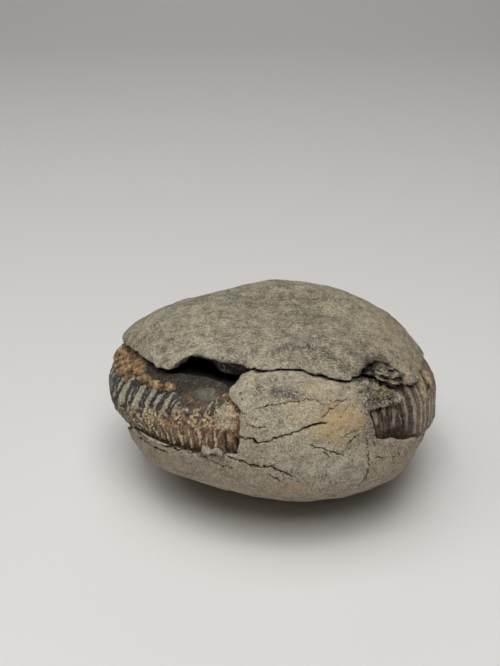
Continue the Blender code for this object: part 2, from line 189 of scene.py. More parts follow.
# each window: its first and last azimuth, azimuth and height along its ledge, height and degrees along
# the broken edge at the block
LEFT_WINDOW = (-191.0, -103.5)
LEFT_LEDGE = ((-191, 0.5), (-175, -0.4), (-163, -1.5), (-154, -2.3), (-146, -2.8), (-138, -3.1),
              (-129, -3.3), (-119, -3.1), (-111, -2.7), (-103.5, -1.6))
LEFT_BREAK = ((-2, 0.5), (2.6, 1.6), (7.5, 1.5), (9.3, 1.0), (10.3, -0.6), (11.4, -2.6), (12.8, -4.2),
              (14.0, -4.0), (15.6, -1.9), (17.5, 1.3))
RIGHT_WINDOW = (-57.5, 18.0)
RIGHT_LEDGE = ((-57.5, 2.8), (-56, 1.4), (-47, -0.3), (-32, -3.2), (-10, -3.2), (18, 0.5))
RIGHT_BREAK = ((-2, 1.2), (2.4, 0.5), (8.4, -0.6), (9.2, 4.0), (9.8, 10.0), (13.0, 12.5), (16.0, 12.0))
WINDOW_INNER = 32.0
CRUST_MIDDLE = (-52.4, 11.9)            # granular crust over the shell's top beside the block
CRUST_HALF = (6.2, 2.8)
CRUST_SLOPE = -0.03                     # mm down for each degree to the right
CRUST_PROUD = 0.9
CRUST_ROUND = 1.5
CRUST_TOP = (-44.5, 5.5, 0.3)           # where its top lies lower: azimuth, spread, depth
CRUST_PATCH = (-53, 11.5, 8, 3.8)       # crusty stone: azimuth, height and half sizes
CRUST_SIDE = (-59, 5, 3, 6)             # rough stone at its left
CRUST_KNOB = (-58.1, 12.7, 1.3, 0.95)
# gap under the left whorl, as azimuths, height, half height and width, and stone pressed up below it
UNDERCUT = (-150.0, -118.0, -3.7, 0.7, 0.6)
UNDERCUT_END = 4                        # degrees over which the gap runs out
LOW_FILL = ((-176, 0.0), (-166, 1.0), (-152, 1.1), (-140, 0.6), (-128, 0.0))
LOW_FILL_START = (-2.5, -4.0)           # heights between which that stone sets in
BLOCKS = (                              # small pieces of stone left on the ledge: place and half sizes
    ((-112.9, 44.4, -2.0), (0.9, 1.0, 1.0)), ((-109.3, 44.5, -1.7), (0.9, 1.3, 1.1)),
)
BLOCK_ROUGH = 0.8
MIDDLE_GREY = (0.5, 0.5, 0.5, 1)
STONE_ROUGHNESS = 0.85
FLECK_LENGTH = (1.3, 0.3, 0.35)         # how the stone's light flecks are drawn out
FLECK_TURNS = (0.4, 1.5, 2.6)           # and which ways, in radians
BASE_BOX = ((-47, -48, -30), (47, 46, 22))
BASE_FACES = 135000                     # triangles before the cracks are opened
BASE_HIDDEN = 6.0                       # below this depth nothing is seen from outside
STONE_STEP = 0.5                        # spacing of the points that the stone's skin is drawn from
COARSE = 4                              # the form is first looked at on every fourth point
NEAR_SKIN = 2.6                         # and again on all points where it comes this near to 0
DETAIL_DEPTH = 1.4                      # fine relief is added this near to the skin
FAR = 9.0
CLOSE_ROUNDS = 4
TOUCH = 0.02
BACK_START = 15.0                       # behind this, and below the next, the faces may be larger
UNDER_START = -17.0
BACK_SHARE = 0.5                        # how readily those faces are merged, against hidden ones

lie = (Matrix.Translation((0, 0, MIDDLE_HEIGHT)) @ Matrix.Rotation(math.radians(ROLL_RIGHT_DOWN), 4, "Y")
       @ Matrix.Rotation(math.radians(-TILT_FRONT_UP), 4, "X"))
GRADIENTS = np.array([(x, y, z) for x in (-1, 0, 1) for y in (-1, 0, 1) for z in (-1, 0, 1)
                      if abs(x) + abs(y) + abs(z) == 2], np.float32)


def grain(points, size, seed):
    """Smooth random field of about -1 to 1, with lumps of about the given size in millimetres."""
    place = points / size + 17.3 * seed
    cell = np.floor(place).astype(np.int64)
    share = (place - cell).astype(np.float32)
    ease = share ** 3 * (share * (share * 6 - 15) + 10)
    total = np.zeros(len(points), np.float32)
    for corner in np.ndindex(2, 2, 2):
        x, y, z = (cell + corner).T
        mixed = (x * 374761393 + y * 668265263 + z * 1440662683 + seed * 974711) & 0xFFFFFFFF
        mixed = ((mixed ^ (mixed >> 13)) * 1274126177) & 0xFFFFFFFF
        slope = GRADIENTS[(mixed ^ (mixed >> 16)) % len(GRADIENTS)]
        weight = np.prod(np.where(corner, ease, 1 - ease), axis=1)
        total += weight * np.einsum("ij,ij->i", slope, share - np.array(corner, np.float32))
    return total * 1.5


def ease(low, high, value):
    """0 at low, 1 at high, smooth between."""
    share = np.clip((value - low) / (high - low), 0, 1)
    return share * share * (3 - 2 * share)


def along(points, place):
    """Value at places along a list of (place, value) points."""
    places, values = zip(*points)
    return np.interp(place, places, values)


def polar(points, axis=(0.0, 0.0)):
    """Azimuth in degrees and distance from an upright axis."""
    x, y = points[:, 0] - axis[0], points[:, 1] - axis[1]
    return np.degrees(np.arctan2(y, x)), np.hypot(x, y)


def leftward(azimuth):
    """The same azimuth counted on past -180 at the left of the back."""
    return np.where(azimuth > 90, azimuth - 360, azimuth)


def both(first, second, blend=0.5):
    """Overlap of two solids with the edge between them worn round over the blend's width."""
    ramp = np.clip(0.5 - 0.5 * (first - second) / blend, 0, 1)
    return first + (second - first) * ramp + blend * ramp * (1 - ramp)


def joined(first, second, blend=0.5):
    """Two solids grown together."""
    return -both(-first, -second, blend)


def skin_reach(points):
    """Distance of the nodule's smooth skin from its middle, in the direction of each point."""
    distance = np.linalg.norm(points, axis=1)
    direction = points / np.maximum(distance, 1e-6)[:, None]
    depth = np.where(direction[:, 1] < 0, HALF_DEPTH_FRONT, HALF_DEPTH_BACK)
    height = np.where(direction[:, 2] > 0, TOP_HEIGHT, UNDER_DEPTH)
    plan = np.abs(direction[:, 0] / HALF_WIDTH) ** PLAN_POWER + np.abs(direction[:, 1] / depth) ** PLAN_POWER
    side = np.abs(direction[:, 2] / height) ** SIDE_POWER
    reach = (plan ** (SIDE_POWER / PLAN_POWER) + side) ** (-1 / SIDE_POWER)
    for azimuth, elevation, spread, swell in SWELLS:
        turn, lift = math.radians(azimuth), math.radians(elevation)
        towards = (math.cos(lift) * math.cos(turn), math.cos(lift) * math.sin(turn), math.sin(lift))
        away = np.degrees(np.arccos(np.clip(direction @ np.array(towards), -1, 1)))
        reach += swell * np.exp(-(away / spread) ** 2)
    return distance, reach


def nodule(points, detail):
    """The whole nodule before it split: below 0 inside, above 0 outside, in about millimetres."""
    distance, reach = skin_reach(points)
    form = distance - reach - 0.5 * grain(points, 14, 1) - 0.25 * grain(points, 5, 2)
    if detail:
        form -= 0.10 * grain(points, 2.2, 3) + 0.05 * grain(points, 1.1, 4)
        form += 0.35 * ease(0.55, 0.95, grain(points, 1.7, 5))
    return form


def split(points, detail):
    """Height above the uneven split between base and cap."""
    azimuth, reach = polar(points)
    edge = along(SPLIT_EDGE, azimuth)
    height = SPLIT_MIDDLE + (edge - SPLIT_MIDDLE) * ease(0, SPLIT_DROP, reach - SPLIT_INNER)
    if detail:
        height += 0.30 * grain(points, 2.6, 6) + 0.16 * grain(points, 1.2, 7)
    return points[:, 2] - height


def coil_radius(turned):
    """Outer radius of the spiral, in degrees turned back from the aperture."""
    return APERTURE_RADIUS * WHORL_GROWTH ** (-turned / 360)


def whorl_form(points, first, last, swell):
    """A stretch of the coil, from degrees first to last turned back from the aperture."""
    azimuth, reach = polar(points, COIL_AXIS)
    height = points[:, 2] - COIL_AXIS[2]
    turned = (azimuth - APERTURE_AZIMUTH - first) % 360 + first
    turned = np.where(turned > (first + last + 360) / 2, turned - 360, turned)
    radius = coil_radius(turned)
    out = np.abs(reach / radius - 1 + SECTION_REACH) / SECTION_REACH
    up = np.abs(height / radius) / SECTION_WIDTH
    section = (out ** SECTION_POWER + up ** SECTION_POWER) ** (1 / SECTION_POWER)
    side = (section - swell) * radius * SECTION_REACH
    end = np.maximum(first - turned, turned - last) * math.radians(1) * reach
    return np.maximum(side, end)


def pocket(points):
    """The hollow that the shell lies in."""
    outer = whorl_form(points, -POCKET_EXTRA, OUTER_TURN, 1 + POCKET_CLEARANCE)
    _, reach = polar(points, COIL_AXIS)
    up = np.abs(points[:, 2] - COIL_AXIS[2]) - POCKET_MIDDLE_HALF
    return np.minimum(outer, np.maximum(reach - POCKET_MIDDLE_RADIUS, up))


def window(points, span, ledge, edge, broken, detail):
    """Where the stone has come away from the shell, down to a ledge; the edge at one end is broken."""
    azimuth, reach = polar(points)
    azimuth = leftward(azimuth)
    height = points[:, 2]
    rough = 0.55 * grain(points, 3.0, 8) + 0.35 * grain(points, 1.3, 9) if detail else 0.0
    first, last = (end + (along(edge, height) if end == broken else 0) for end in span)
    side = np.maximum(first - azimuth, azimuth - last) * math.radians(1) * reach
    floor_part = along(ledge, azimuth) - height
    return np.maximum(np.maximum(side + rough, floor_part + 0.6 * rough), WINDOW_INNER - reach)


def bell(points, place, power=2):
    """1 at an azimuth and height, falling to 0 past the half sizes that follow them."""
    turn, height, wide, high = place
    azimuth, _ = polar(points)
    return np.exp(-((azimuth - turn) / wide) ** power - ((points[:, 2] - height) / high) ** power)


def crust(points, detail):
    """Granular crust that covers the top of the shell beside the block."""
    azimuth, reach = polar(points)
    aside = azimuth - CRUST_MIDDLE[0]
    across = np.abs(aside) * math.radians(1) * reach - CRUST_HALF[0]
    up = np.abs(points[:, 2] - CRUST_MIDDLE[1] - CRUST_SLOPE * aside) - CRUST_HALF[1]
    form = both(both(across, up, CRUST_ROUND), nodule(points, False) - CRUST_PROUD, CRUST_ROUND)
    if detail:
        form -= 0.65 * grain(points, 1.8, 12) + 0.55 * grain(points, 0.95, 13)
    return form


def crust_share(points):
    """1 on the crust and on the rough stone at its left, 0 away from them."""
    return np.maximum(bell(points, CRUST_PATCH, 4), 0.5 * bell(points, CRUST_SIDE))


def egg(points, place, sizes, rough, seed, detail):
    """Uneven egg shape at an azimuth, reach and height; half sizes outward, along and up."""
    turn = math.radians(place[0])
    outward = np.array((math.cos(turn), math.sin(turn)))
    sideways = np.array((-math.sin(turn), math.cos(turn)))
    flat = points[:, :2] - place[1] * outward
    scaled = np.stack((flat @ outward, flat @ sideways, points[:, 2] - place[2]), -1) / sizes
    form = (np.linalg.norm(scaled, axis=1) - 1) * min(sizes)
    if detail:
        form = form + rough * grain(points, 2.4, seed) + 0.5 * rough * grain(points, 1.1, seed + 1)
    return form


def base_form(points, detail):
    """The base stone: below 0 inside, above 0 outside."""
    below = split(points, detail) + SPLIT_GAP / 2
    form = both(nodule(points, detail), below, 0.7)
    form = both(form, -window(points, LEFT_WINDOW, LEFT_LEDGE, LEFT_BREAK, LEFT_WINDOW[1], detail))
    form = both(form, -window(points, RIGHT_WINDOW, RIGHT_LEDGE, RIGHT_BREAK, RIGHT_WINDOW[0], detail))
    azimuth, _ = polar(points)
    lower_top = CRUST_TOP[2] * np.exp(-((azimuth - CRUST_TOP[0]) / CRUST_TOP[1]) ** 2)
    form = joined(form, both(crust(points, detail), below + lower_top), 0.8)
    for place, sizes in BLOCKS:
        form = joined(form, egg(points, place, sizes, BLOCK_ROUGH, 14, detail), 0.1)
    if detail:
        form -= crust_share(points) * (0.75 * grain(points, 1.7, 10) + 0.65 * grain(points, 0.9, 11) - 0.2)
        turn, height, wide, high = CRUST_KNOB
        knob = ((azimuth - turn) / wide) ** 2 + ((points[:, 2] - height) / high) ** 2
        form -= 0.9 * np.exp(-knob ** 2) - 0.5 * np.exp(-((knob - 1.9) / 0.8) ** 2)
    filled = along(LOW_FILL, leftward(azimuth)) * ease(*LOW_FILL_START, points[:, 2])
    shell_space = pocket(points) + filled
    first, last, height, half, width = UNDERCUT
    ends = ease(first - UNDERCUT_END, first, azimuth) * ease(last + UNDERCUT_END, last, azimuth)
    undercut = np.maximum(shell_space - width * ends, np.abs(points[:, 2] - height) - half)
    form = both(form, -np.minimum(shell_space, undercut), 0.3)
    matrix = np.array(lie.to_3x3())
    return np.maximum(form, -(points @ matrix[2] + MIDDLE_HEIGHT / MM))


def surface_net(form, box):
    """Corners and four-sided faces of the surface where a form is 0, within a box."""
    low, high = np.array(box, float)
    counts = (np.ceil((high - low) / STONE_STEP / COARSE).astype(int) + 1) * COARSE
    axes = [low[n] + STONE_STEP * np.arange(counts[n]) for n in range(3)]
    rough_axes = [axis[COARSE // 2::COARSE] for axis in axes]
    points = np.stack(np.meshgrid(*rough_axes, indexing="ij"), -1).reshape(-1, 3)
    value = form(points, False).reshape([len(axis) for axis in rough_axes])
    for n in range(3):
        value = np.repeat(value, COARSE, axis=n)
    near = np.abs(value) < NEAR_SKIN
    value = np.where(value < 0, -FAR, FAR).astype(np.float32)
    index = np.argwhere(near)
    points = np.stack([axes[n][index[:, n]] for n in range(3)], -1)
    found = form(points, False)
    close = np.abs(found) < DETAIL_DEPTH
    found[close] = form(points[close], True)
    value[near] = found
    inside = value < 0
    # fill the places where two parts of the solid touch only along an edge, so that the net stays closed
    for _ in range(CLOSE_ROUNDS):
        for axis in range(3):
            start = [slice(None)] * 3
            start[axis] = slice(0, -1)
            end = [slice(None)] * 3
            end[axis] = slice(1, None)
            other = (axis + 1) % 3
            a, b, c, d = (tuple(half[:other] + [part] + half[other + 1:]) for half in (start, end)
                          for part in (slice(0, -1), slice(1, None)))
            crossed = (inside[a] == inside[d]) & (inside[b] == inside[c]) & (inside[a] != inside[b])
            for corner in (a, b, c, d):
                inside[corner] |= crossed
    value[inside & (value >= 0)] = -TOUCH
    # one corner of the net in each cell that the surface passes through
    cells = np.zeros([count - 1 for count in counts], np.int8)
    for corner in np.ndindex(2, 2, 2):
        cells += inside[tuple(slice(c, c + n - 1) for c, n in zip(corner, counts))]
    crossed = (cells > 0) & (cells < 8)
    cell = np.argwhere(crossed)
    number = np.full(crossed.shape, -1, np.int64)
    number[crossed] = np.arange(len(cell))
    total = np.zeros((len(cell), 3))
    hits = np.zeros(len(cell))
    for axis in range(3):
        for start in np.ndindex(2, 2):
            near_end = np.insert(start, axis, 0)
            far_end = np.insert(start, axis, 1)
            first = value[tuple((cell + near_end).T)]
            second = value[tuple((cell + far_end).T)]
            cut = (first < 0) != (second < 0)
            share = np.where(cut, first / np.where(cut, first - second, 1), 0)
            spot = near_end + np.outer(share, far_end - near_end)
            total += np.where(cut[:, None], spot, 0)
            hits += cut
    corners = low + STONE_STEP * (cell + total / hits[:, None])
    # one face round each grid edge that the surface cuts
    faces = []
    for axis in range(3):
        second_axis, third_axis = (axis + 1) % 3, (axis + 2) % 3
        lower = [slice(1, n - 1) for n in counts]
        lower[axis] = slice(0, counts[axis] - 1)
        upper = list(lower)
        upper[axis] = slice(1, counts[axis])
        start_in, end_in = inside[tuple(lower)], inside[tuple(upper)]
        edge = np.argwhere(start_in != end_in)
        outward = start_in[tuple(edge.T)]
        edge += [int(n != axis) for n in range(3)]
        ring = []
        for back_second, back_third in ((0, 0), (1, 0), (1, 1), (0, 1)):
            around = edge.copy()
            around[:, second_axis] -= back_second
            around[:, third_axis] -= back_third
            ring.append(number[tuple(around.T)])
        ring = np.stack(ring, -1)
        faces.append(np.where(outward[:, None], ring, ring[:, ::-1]))
    return corners, np.concatenate(faces)


def stone_piece(name, form, box, hidden, faces_wanted):
    """Closed piece drawn from a form; faces that are hidden or at the back are made larger."""
    corners, faces = surface_net(form, box)
    mesh = bpy.data.meshes.new(name)
    mesh.from_pydata((corners * MM).tolist(), [], faces.tolist())
    shape = bmesh.new()
    shape.from_mesh(mesh)
    bodies = []
    left = set(shape.verts)
    while left:
        body = {left.pop()}
        front = list(body)
        while front:
            corner = front.pop()
            for edge in corner.link_edges:
                other = edge.other_vert(corner)
                if other not in body:
                    body.add(other)
                    front.append(other)
        left -= body
        bodies.append(body)
    loose = [corner for body in bodies if body is not max(bodies, key=len) for corner in body]
    bmesh.ops.delete(shape, geom=loose, context="VERTS")
    shape.to_mesh(mesh)
    shape.free()
    piece = bpy.data.objects.new(name, mesh)
    bpy.context.scene.collection.objects.link(piece)
    group = piece.vertex_groups.new(name="plain")
    points = points_of(mesh)
    unseen = hidden(points)
    back = ~unseen & ((points[:, 1] > BACK_START) | (points[:, 2] < UNDER_START))
    group.add(np.flatnonzero(unseen).tolist(), 1.0, "REPLACE")
    group.add(np.flatnonzero(back).tolist(), BACK_SHARE, "REPLACE")
    fewer = piece.modifiers.new("thin out", "DECIMATE")
    fewer.vertex_group = group.name
    fewer.ratio = min(1.0, faces_wanted / (2 * len(mesh.polygons)))
    apply_modifiers(piece)
    return piece


def points_of(mesh):
    """Corners of a mesh in millimetres."""
    flat = np.zeros(3 * len(mesh.vertices), np.float32)
    mesh.vertices.foreach_get("co", flat)
    return flat.reshape(-1, 3).astype(float) / MM


def lay_down(piece):
    """Turn a finished piece from the coiling plane to how the nodule lies."""
    piece.data.transform(lie)
    piece.data.update()


def apply_modifiers(piece):
    """Give a piece the mesh that its modifiers make."""
    depsgraph = bpy.context.evaluated_depsgraph_get()
    shaped = bpy.data.meshes.new_from_object(piece.evaluated_get(depsgraph))
    piece.modifiers.clear()
    piece.data = shaped


def mark(mesh, name, values):
    """Keep a value from 0 to 1 for each corner, for the material to read."""
    kept = np.clip(values, 0, 1).astype(np.float32)
    mesh.attributes.new(name, "FLOAT", "POINT").data.foreach_set("value", kept)


def depth_of(points):
    """Depth below the nodule's smooth skin."""
    distance, reach = skin_reach(points)
    return reach - distance


def spots(points, patches):
    """Soft patches on the side of the nodule, the strongest where they overlap."""
    turn, _ = polar(points)
    found = np.zeros(len(points))
    for strength, azimuth, height, wide, high, frayed, seed in patches:
        away = ((leftward(turn) - azimuth) / wide) ** 2 + ((points[:, 2] - height) / high) ** 2
        away += frayed * (grain(points, 3.0, seed) + 0.6 * grain(points, 1.3, seed + 1))
        found = np.maximum(found, strength * ease(1.5, 0.5, away))
    return found


class Nodes:
    """Short ways to build one material's node tree."""

    def __init__(self, name, roughness):
        self.material, self.shader = material(name, MIDDLE_GREY, roughness)
        self.tree = self.material.node_tree
        self.place = self.tree.nodes.new("ShaderNodeTexCoord").outputs["Object"]

    def put(self, socket, value):
        """Link a socket to another one, or set it to a value."""
        if hasattr(value, "links"):
            self.tree.links.new(value, socket)
        else:
            socket.default_value = value

    def value(self, name):
        """A value kept on the mesh by mark."""
        node = self.tree.nodes.new("ShaderNodeAttribute")
        node.attribute_name = name
        return node.outputs["Fac"]

    def math(self, operation, *values):
        """One step of arithmetic on values."""
        node = self.tree.nodes.new("ShaderNodeMath")
        node.operation = operation
        for socket, value in zip(node.inputs, values):
            self.put(socket, value)
        return node.outputs[0]

    def times(self, first, second):
        """The product of two values."""
        return self.math("MULTIPLY", first, second)

    def off_middle(self, noise):
        """How far noise is from its middle value, 0 along winding lines."""
        return self.math("ABSOLUTE", self.math("SUBTRACT", noise, 0.5))

    def reach(self, value, low, high, start=0.0, end=1.0):
        """The value's range low to high spread to start to end, held there beyond it."""
        node = self.tree.nodes.new("ShaderNodeMapRange")
        for socket, given in zip(node.inputs, (value, low, high, start, end)):
            self.put(socket, given)
        return node.outputs[0]

    def mottle(self, size, detail=2.0, length=(1, 1, 1), turn=(0, 0, 0), rough=0.5):
        """Smooth noise with lumps of about the given size in millimetres, drawn out along turned axes."""
        mapping = self.tree.nodes.new("ShaderNodeMapping")
        mapping.vector_type = "TEXTURE"
        self.put(mapping.inputs["Vector"], self.place)
        self.put(mapping.inputs["Rotation"], turn)
        self.put(mapping.inputs["Scale"], length)
        node = self.tree.nodes.new("ShaderNodeTexNoise")
        self.put(node.inputs["Vector"], mapping.outputs[0])
        self.put(node.inputs["Scale"], 1 / (size * MM))
        self.put(node.inputs["Detail"], detail)
        self.put(node.inputs["Roughness"], rough)
        return node.outputs["Fac"]

    def mix(self, share, first, second):
        """The first colour where the share is 0, the second where it is 1."""
        node = self.tree.nodes.new("ShaderNodeMix")
        node.data_type = "RGBA"
        self.put(node.inputs[0], share)
        for socket, colour in zip(node.inputs[6:8], (first, second)):
            self.put(socket, colour if hasattr(colour, "links") else (*colour, 1))
        return node.outputs[2]

    def tones(self, noise, low, high, first, second):
        """Two colours, the first where noise is low and the second where it is high."""
        return self.mix(self.reach(noise, low, high), first, second)

    def over(self, colour, name, new, strength=1.0):
        """A new colour laid over the places of a mark."""
        return self.mix(self.times(self.value(name), strength), colour, new)

    def scaled(self, colour, light):
        """A colour made darker or lighter by a factor."""
        node = self.tree.nodes.new("ShaderNodeVectorMath")
        node.operation = "SCALE"
        self.put(node.inputs[0], colour)
        self.put(node.inputs["Scale"], light)
        return node.outputs[0]

    def bump(self, height, depth, before=None):
        """Relief of the given height value, depth in millimetres."""
        node = self.tree.nodes.new("ShaderNodeBump")
        self.put(node.inputs["Distance"], depth * MM)
        self.put(node.inputs["Height"], height)
        if before is not None:
            self.put(node.inputs["Normal"], before)
        return node.outputs[0]

    def finished(self, colour, roughness, relief):
        """The material, with what its surface is given."""
        for name, value in (("Base Color", colour), ("Roughness", roughness), ("Normal", relief)):
            self.put(self.shader.inputs[name], value)
        return self.material


def mudstone(name, fresh, worn, brown, lively):
    """Dull grey mudstone: mottled, with light shelly flecks, pits, stains, iron marks and dark crust, and
    painted shade and painted light in places.
    """
    stone = Nodes(name, STONE_ROUGHNESS)
    large = stone.mottle(13, 3)
    middle = stone.mottle(3.0, 4)
    fine = stone.mottle(0.9, 3, rough=0.7)
    grit = stone.mottle(0.35, 2, rough=0.7)
    colour = stone.tones(large, 0.35, 0.65, worn, fresh)
    # browner below the under line, its brown lightened as painted light
    colour = stone.over(colour, "under", brown)
    colour = stone.over(colour, "ochre", (0.43, 0.31, 0.16), stone.reach(middle, 0.3, 0.6, 0.5, 1))
    # stains, and painted shade in a low band and on the cap's front
    colour = stone.over(colour, "stain_and_shade", (0.115, 0.103, 0.084), stone.reach(middle, 0.35, 0.6, 1, 0.35))
    crusty = stone.tones(fine, 0.40, 0.60, (0.030, 0.027, 0.022), (0.145, 0.127, 0.092))
    colour = stone.over(colour, "crust", crusty, 0.92)
    colour = stone.over(colour, "yellow", (0.30, 0.235, 0.085), stone.reach(fine, 0.4, 0.6))
    # pale patches: pale stone, and painted light on the block's lower front and the cap's left front
    colour = stone.over(colour, "pale", (0.40, 0.365, 0.29), stone.reach(middle, 0.4, 0.55))
    # lumps, grains and grit, lighter and darker, but less so on the ochre
    light = stone.reach(middle, 0.3, 0.7, 1 - 0.28 * lively, 1 + 0.26 * lively)
    light = stone.times(light, stone.reach(fine, 0.34, 0.66, 1 - 0.26 * lively, 1 + 0.26 * lively))
    light = stone.times(light, stone.reach(grit, 0.34, 0.66, 0.62, 1.38))
    even = stone.times(stone.value("ochre"), 0.55)
    light = stone.math("ADD", stone.times(light, stone.math("SUBTRACT", 1.0, even)), even)
    colour = stone.scaled(colour, light)
    # light flecks of shell, drawn out three ways, and dark pits
    fleck = 0.0
    for angle in FLECK_TURNS:
        fleck = stone.math("MAXIMUM", fleck, stone.mottle(1.5, 1, FLECK_LENGTH, (0.3, angle, 0.8 * angle)))
    fleck = stone.math("ADD", fleck, stone.times(stone.value("shelly"), 0.05))
    colour = stone.mix(stone.reach(fleck, 0.635, 0.68, 0, 0.6), colour, (0.54, 0.50, 0.40))
    pit = stone.reach(stone.mottle(1.3, 2, rough=0.8), 0.345, 0.29)
    colour = stone.mix(stone.times(pit, 0.8), colour, (0.07, 0.062, 0.052))
    # broken faces inside the split, sooty and darkened as painted shade, with light scratches, and the
    # cracks
    soot_and_shade = stone.tones(stone.off_middle(middle), 0.0, 0.035, (0.16, 0.145, 0.12), (0.020, 0.018, 0.015))
    colour = stone.over(colour, "inner", soot_and_shade)
    # painted shade: cracks and the grooves between the lump's layers are near black for the shade inside
    # them
    colour = stone.over(colour, "crack", (0.03, 0.026, 0.022))
    relief = stone.bump(fine, 0.35)
    relief = stone.bump(grit, 0.15, relief)
    relief = stone.bump(pit, -0.25, relief)
    return stone.finished(colour, stone.reach(fine, 0.3, 0.7, 0.75, 0.95), relief)


CRACKS = (                              # width, depth in mm, then azimuth and height along each crack
    (0.15, 0.5, ((-99.6, 9.8), (-95.8, 10.9), (-92.2, 11.4), (-86.5, 12.0), (-80.7, 12.7), (-76.6, 12.2),
                 (-74.7, 11.3), (-69.5, 11.9), (-64.1, 12.2))),
    (0.50, 1.3, ((-102.5, 3.1), (-97.9, 3.2), (-96.1, 2.2), (-91.2, 3.5), (-87.2, 4.7), (-79.9, 6.5),
                 (-73.4, 7.4))),
    (0.26, 0.7, ((-77.2, 7.8), (-73.6, 9.7), (-69.5, 11.1))),
    (0.34, 0.9, ((-80.4, 2.3), (-75.8, 0.7), (-68.8, -1.2), (-66.4, 1.7), (-62.9, 3.8))),
    (0.42, 0.9, ((-75.4, -0.1), (-72.7, -2.2))),
    (0.40, 0.8, ((-60.1, 1.8), (-59.1, -2.6), (-58.0, -7.0), (-58.2, -9.8))),
    (0.70, 1.5, ((-58.0, -6.5), (-58.2, -9.8), (-59.2, -12.3))),
    (0.26, 0.7, ((-57.8, 3.4), (-57.5, -0.1))),
    (0.26, 0.7, ((-57.1, -3.3), (-54.0, -4.3), (-50.9, -5.2))),
    (0.55, 1.3, ((-106.7, -2.3), (-102.3, -3.1), (-98.0, -3.9), (-93.8, -4.6), (-91.8, -4.1), (-87.1, -6.0),
                 (-83.1, -7.4))),
    (0.30, 0.7, ((-117.3, -3.4), (-113.5, -4.2), (-110.5, -5.3), (-107.6, -5.7), (-104.9, -5.5))),
    (0.34, 0.8, ((-93.4, -5.9), (-89.9, -8.0), (-87.8, -9.1))),
    (0.70, 1.6, ((-146.5, -5.6), (-139.7, -5.3), (-134.8, -5.6), (-131.9, -5.7), (-128.5, -5.4))),
    (1.00, 1.8, ((-149.5, -4.4), (-143.6, -4.3), (-138.7, -4.2))),
    (1.00, 1.6, ((-131.5, -4.0), (-126.5, -3.8), (-121.5, -3.4))),
    (0.42, 1.0, ((-122.0, -3.6), (-118.4, -3.4), (-114.6, -3.0), (-111.0, -2.6), (-106.5, -2.2))),
    (0.30, 0.7, ((-135.6, -5.6), (-136.6, -7.2), (-137.9, -8.5))),
    (0.26, 0.5, ((-131.8, -12.4), (-122.5, -11.7))),
    (0.70, 0.8, ((-47.3, -4.2), (-46.3, -4.5))),
    (0.22, 0.6, ((-70.5, 3.2), (-66.0, 4.1), (-61.8, 4.6))),
    (0.22, 0.6, ((-100.5, 7.0), (-96.5, 6.1), (-93.0, 6.6))),
    (0.22, 0.5, ((-103.3, 9.6), (-100.6, 9.4), (-99.4, 7.9))),
)
CRACK_REACH = 0.55                      # mm either side of a crack where the faces are split finer
CRACK_CUTS = 2
SKIN_DEPTH = 2.2                        # cracks open only within this of the skin
UNCRACKED = -9.0
UNDER_LINE = (                          # azimuth and height below which the stone is a little darker and browner, its brown made lighter as painted light on the faces turned down
    (-191, -3), (-152, -4.6), (-127, -5.2), (-117, -3.6), (-108, -2.6), (-94, -4.6), (-88, -6.3),
    (-83, -8.2), (-76, -12), (-66, -14.5), (-59.5, -13), (-58.2, -6), (-57.8, 0), (-57.0, 5), (18, 8),
    (90, 0), (170, -3),
)
BASE_PATCHES = {                        # strength, azimuth, height, half sizes, how frayed, seed
    "ochre": (
        (1.0, -70, 6.5, 9, 5.5, 0.5, 20), (0.35, -74, 11.5, 13, 6, 0.6, 22),
        (0.55, -81, -11.2, 8, 1.3, 1.0, 24),
    ),
    "stain_and_shade": (
        (0.95, -90, 14.4, 8, 2.4, 1.0, 28), (0.3, -95, 16.4, 4, 1.0, 1.2, 30),
        # the second here is painted shade: a dark band under the turning edge low on the front
        (0.8, -51.2, 9.6, 2.8, 1.5, 0.7, 32), (0.45, -80, -17.2, 21, 2.3, 0.25, 80),
        (0.35, -111, -1.6, 4, 1.6, 0.4, 82),
    ),
    "yellow": ((1.0, -51.8, 12.3, 2.8, 1.2, 0.7, 26),),
    "pale": (
        (1.0, -44.6, 10.4, 0.7, 2.0, 0.3, 34), (0.5, -53.0, 9.0, 4.5, 0.5, 0.5, 36),
        # painted light: lightens the lower front of the block, which faces down
        (0.5, -76, -3.5, 15, 5.5, 0.9, 76),
    ),
    "shelly": ((1.0, -72, -5, 14, 7, 0.9, 38), (0.6, -88, 4, 12, 8, 0.9, 39)),
}
BASE_FRESH = (0.362, 0.317, 0.227)
BASE_WORN = (0.292, 0.259, 0.189)
# brown below the under line, lightened as painted light for faces turned down
BASE_BROWN_WITH_LIGHT = (0.320, 0.267, 0.194)
BASE_LIVELY = 0.85                      # how strongly its grain varies


def crack_reach(points, cracks, inside):
    """How far each point is into the nearest crack, 0 at its edge and 1 in the middle, and its depth."""
    azimuth, _ = polar(points)
    unrolled = math.radians(1) * HALF_WIDTH
    place = np.stack((leftward(azimuth) * unrolled, points[:, 2]), -1)
    wander = [0.32 * grain(points, 1.7, seed) + 0.14 * grain(points, 0.6, seed) for seed in (40, 41)]
    place += np.stack(wander, -1)
    open_share = np.full(len(points), UNCRACKED)
    depth = np.zeros(len(points))
    wide = 0.75 + 0.55 * grain(points, 3.5, 42)
    for width, deep, line in cracks:
        line = np.array(line) * (unrolled, 1)
        length = np.concatenate(((0,), np.cumsum(np.linalg.norm(np.diff(line, axis=0), axis=1))))
        for start, end, before, after in zip(line, line[1:], length, length[1:]):
            step = end - start
            share = np.clip((place - start) @ step / (step @ step), 0, 1)
            away = np.linalg.norm(place - start - share[:, None] * step, axis=1)
            run = before + share * (after - before)
            taper = ease(-0.3, 1.6, np.minimum(run, length[-1] - run))
            half = width / 2 * np.clip(wide, 0.6, 1.25) * (0.35 + 0.65 * taper)
            into = 1 - away / half
            nearer = into > open_share
            open_share = np.where(nearer, into, open_share)
            depth = np.where(nearer, deep * (0.3 + 0.7 * taper), depth)
    open_share[~inside] = UNCRACKED
    return open_share, depth


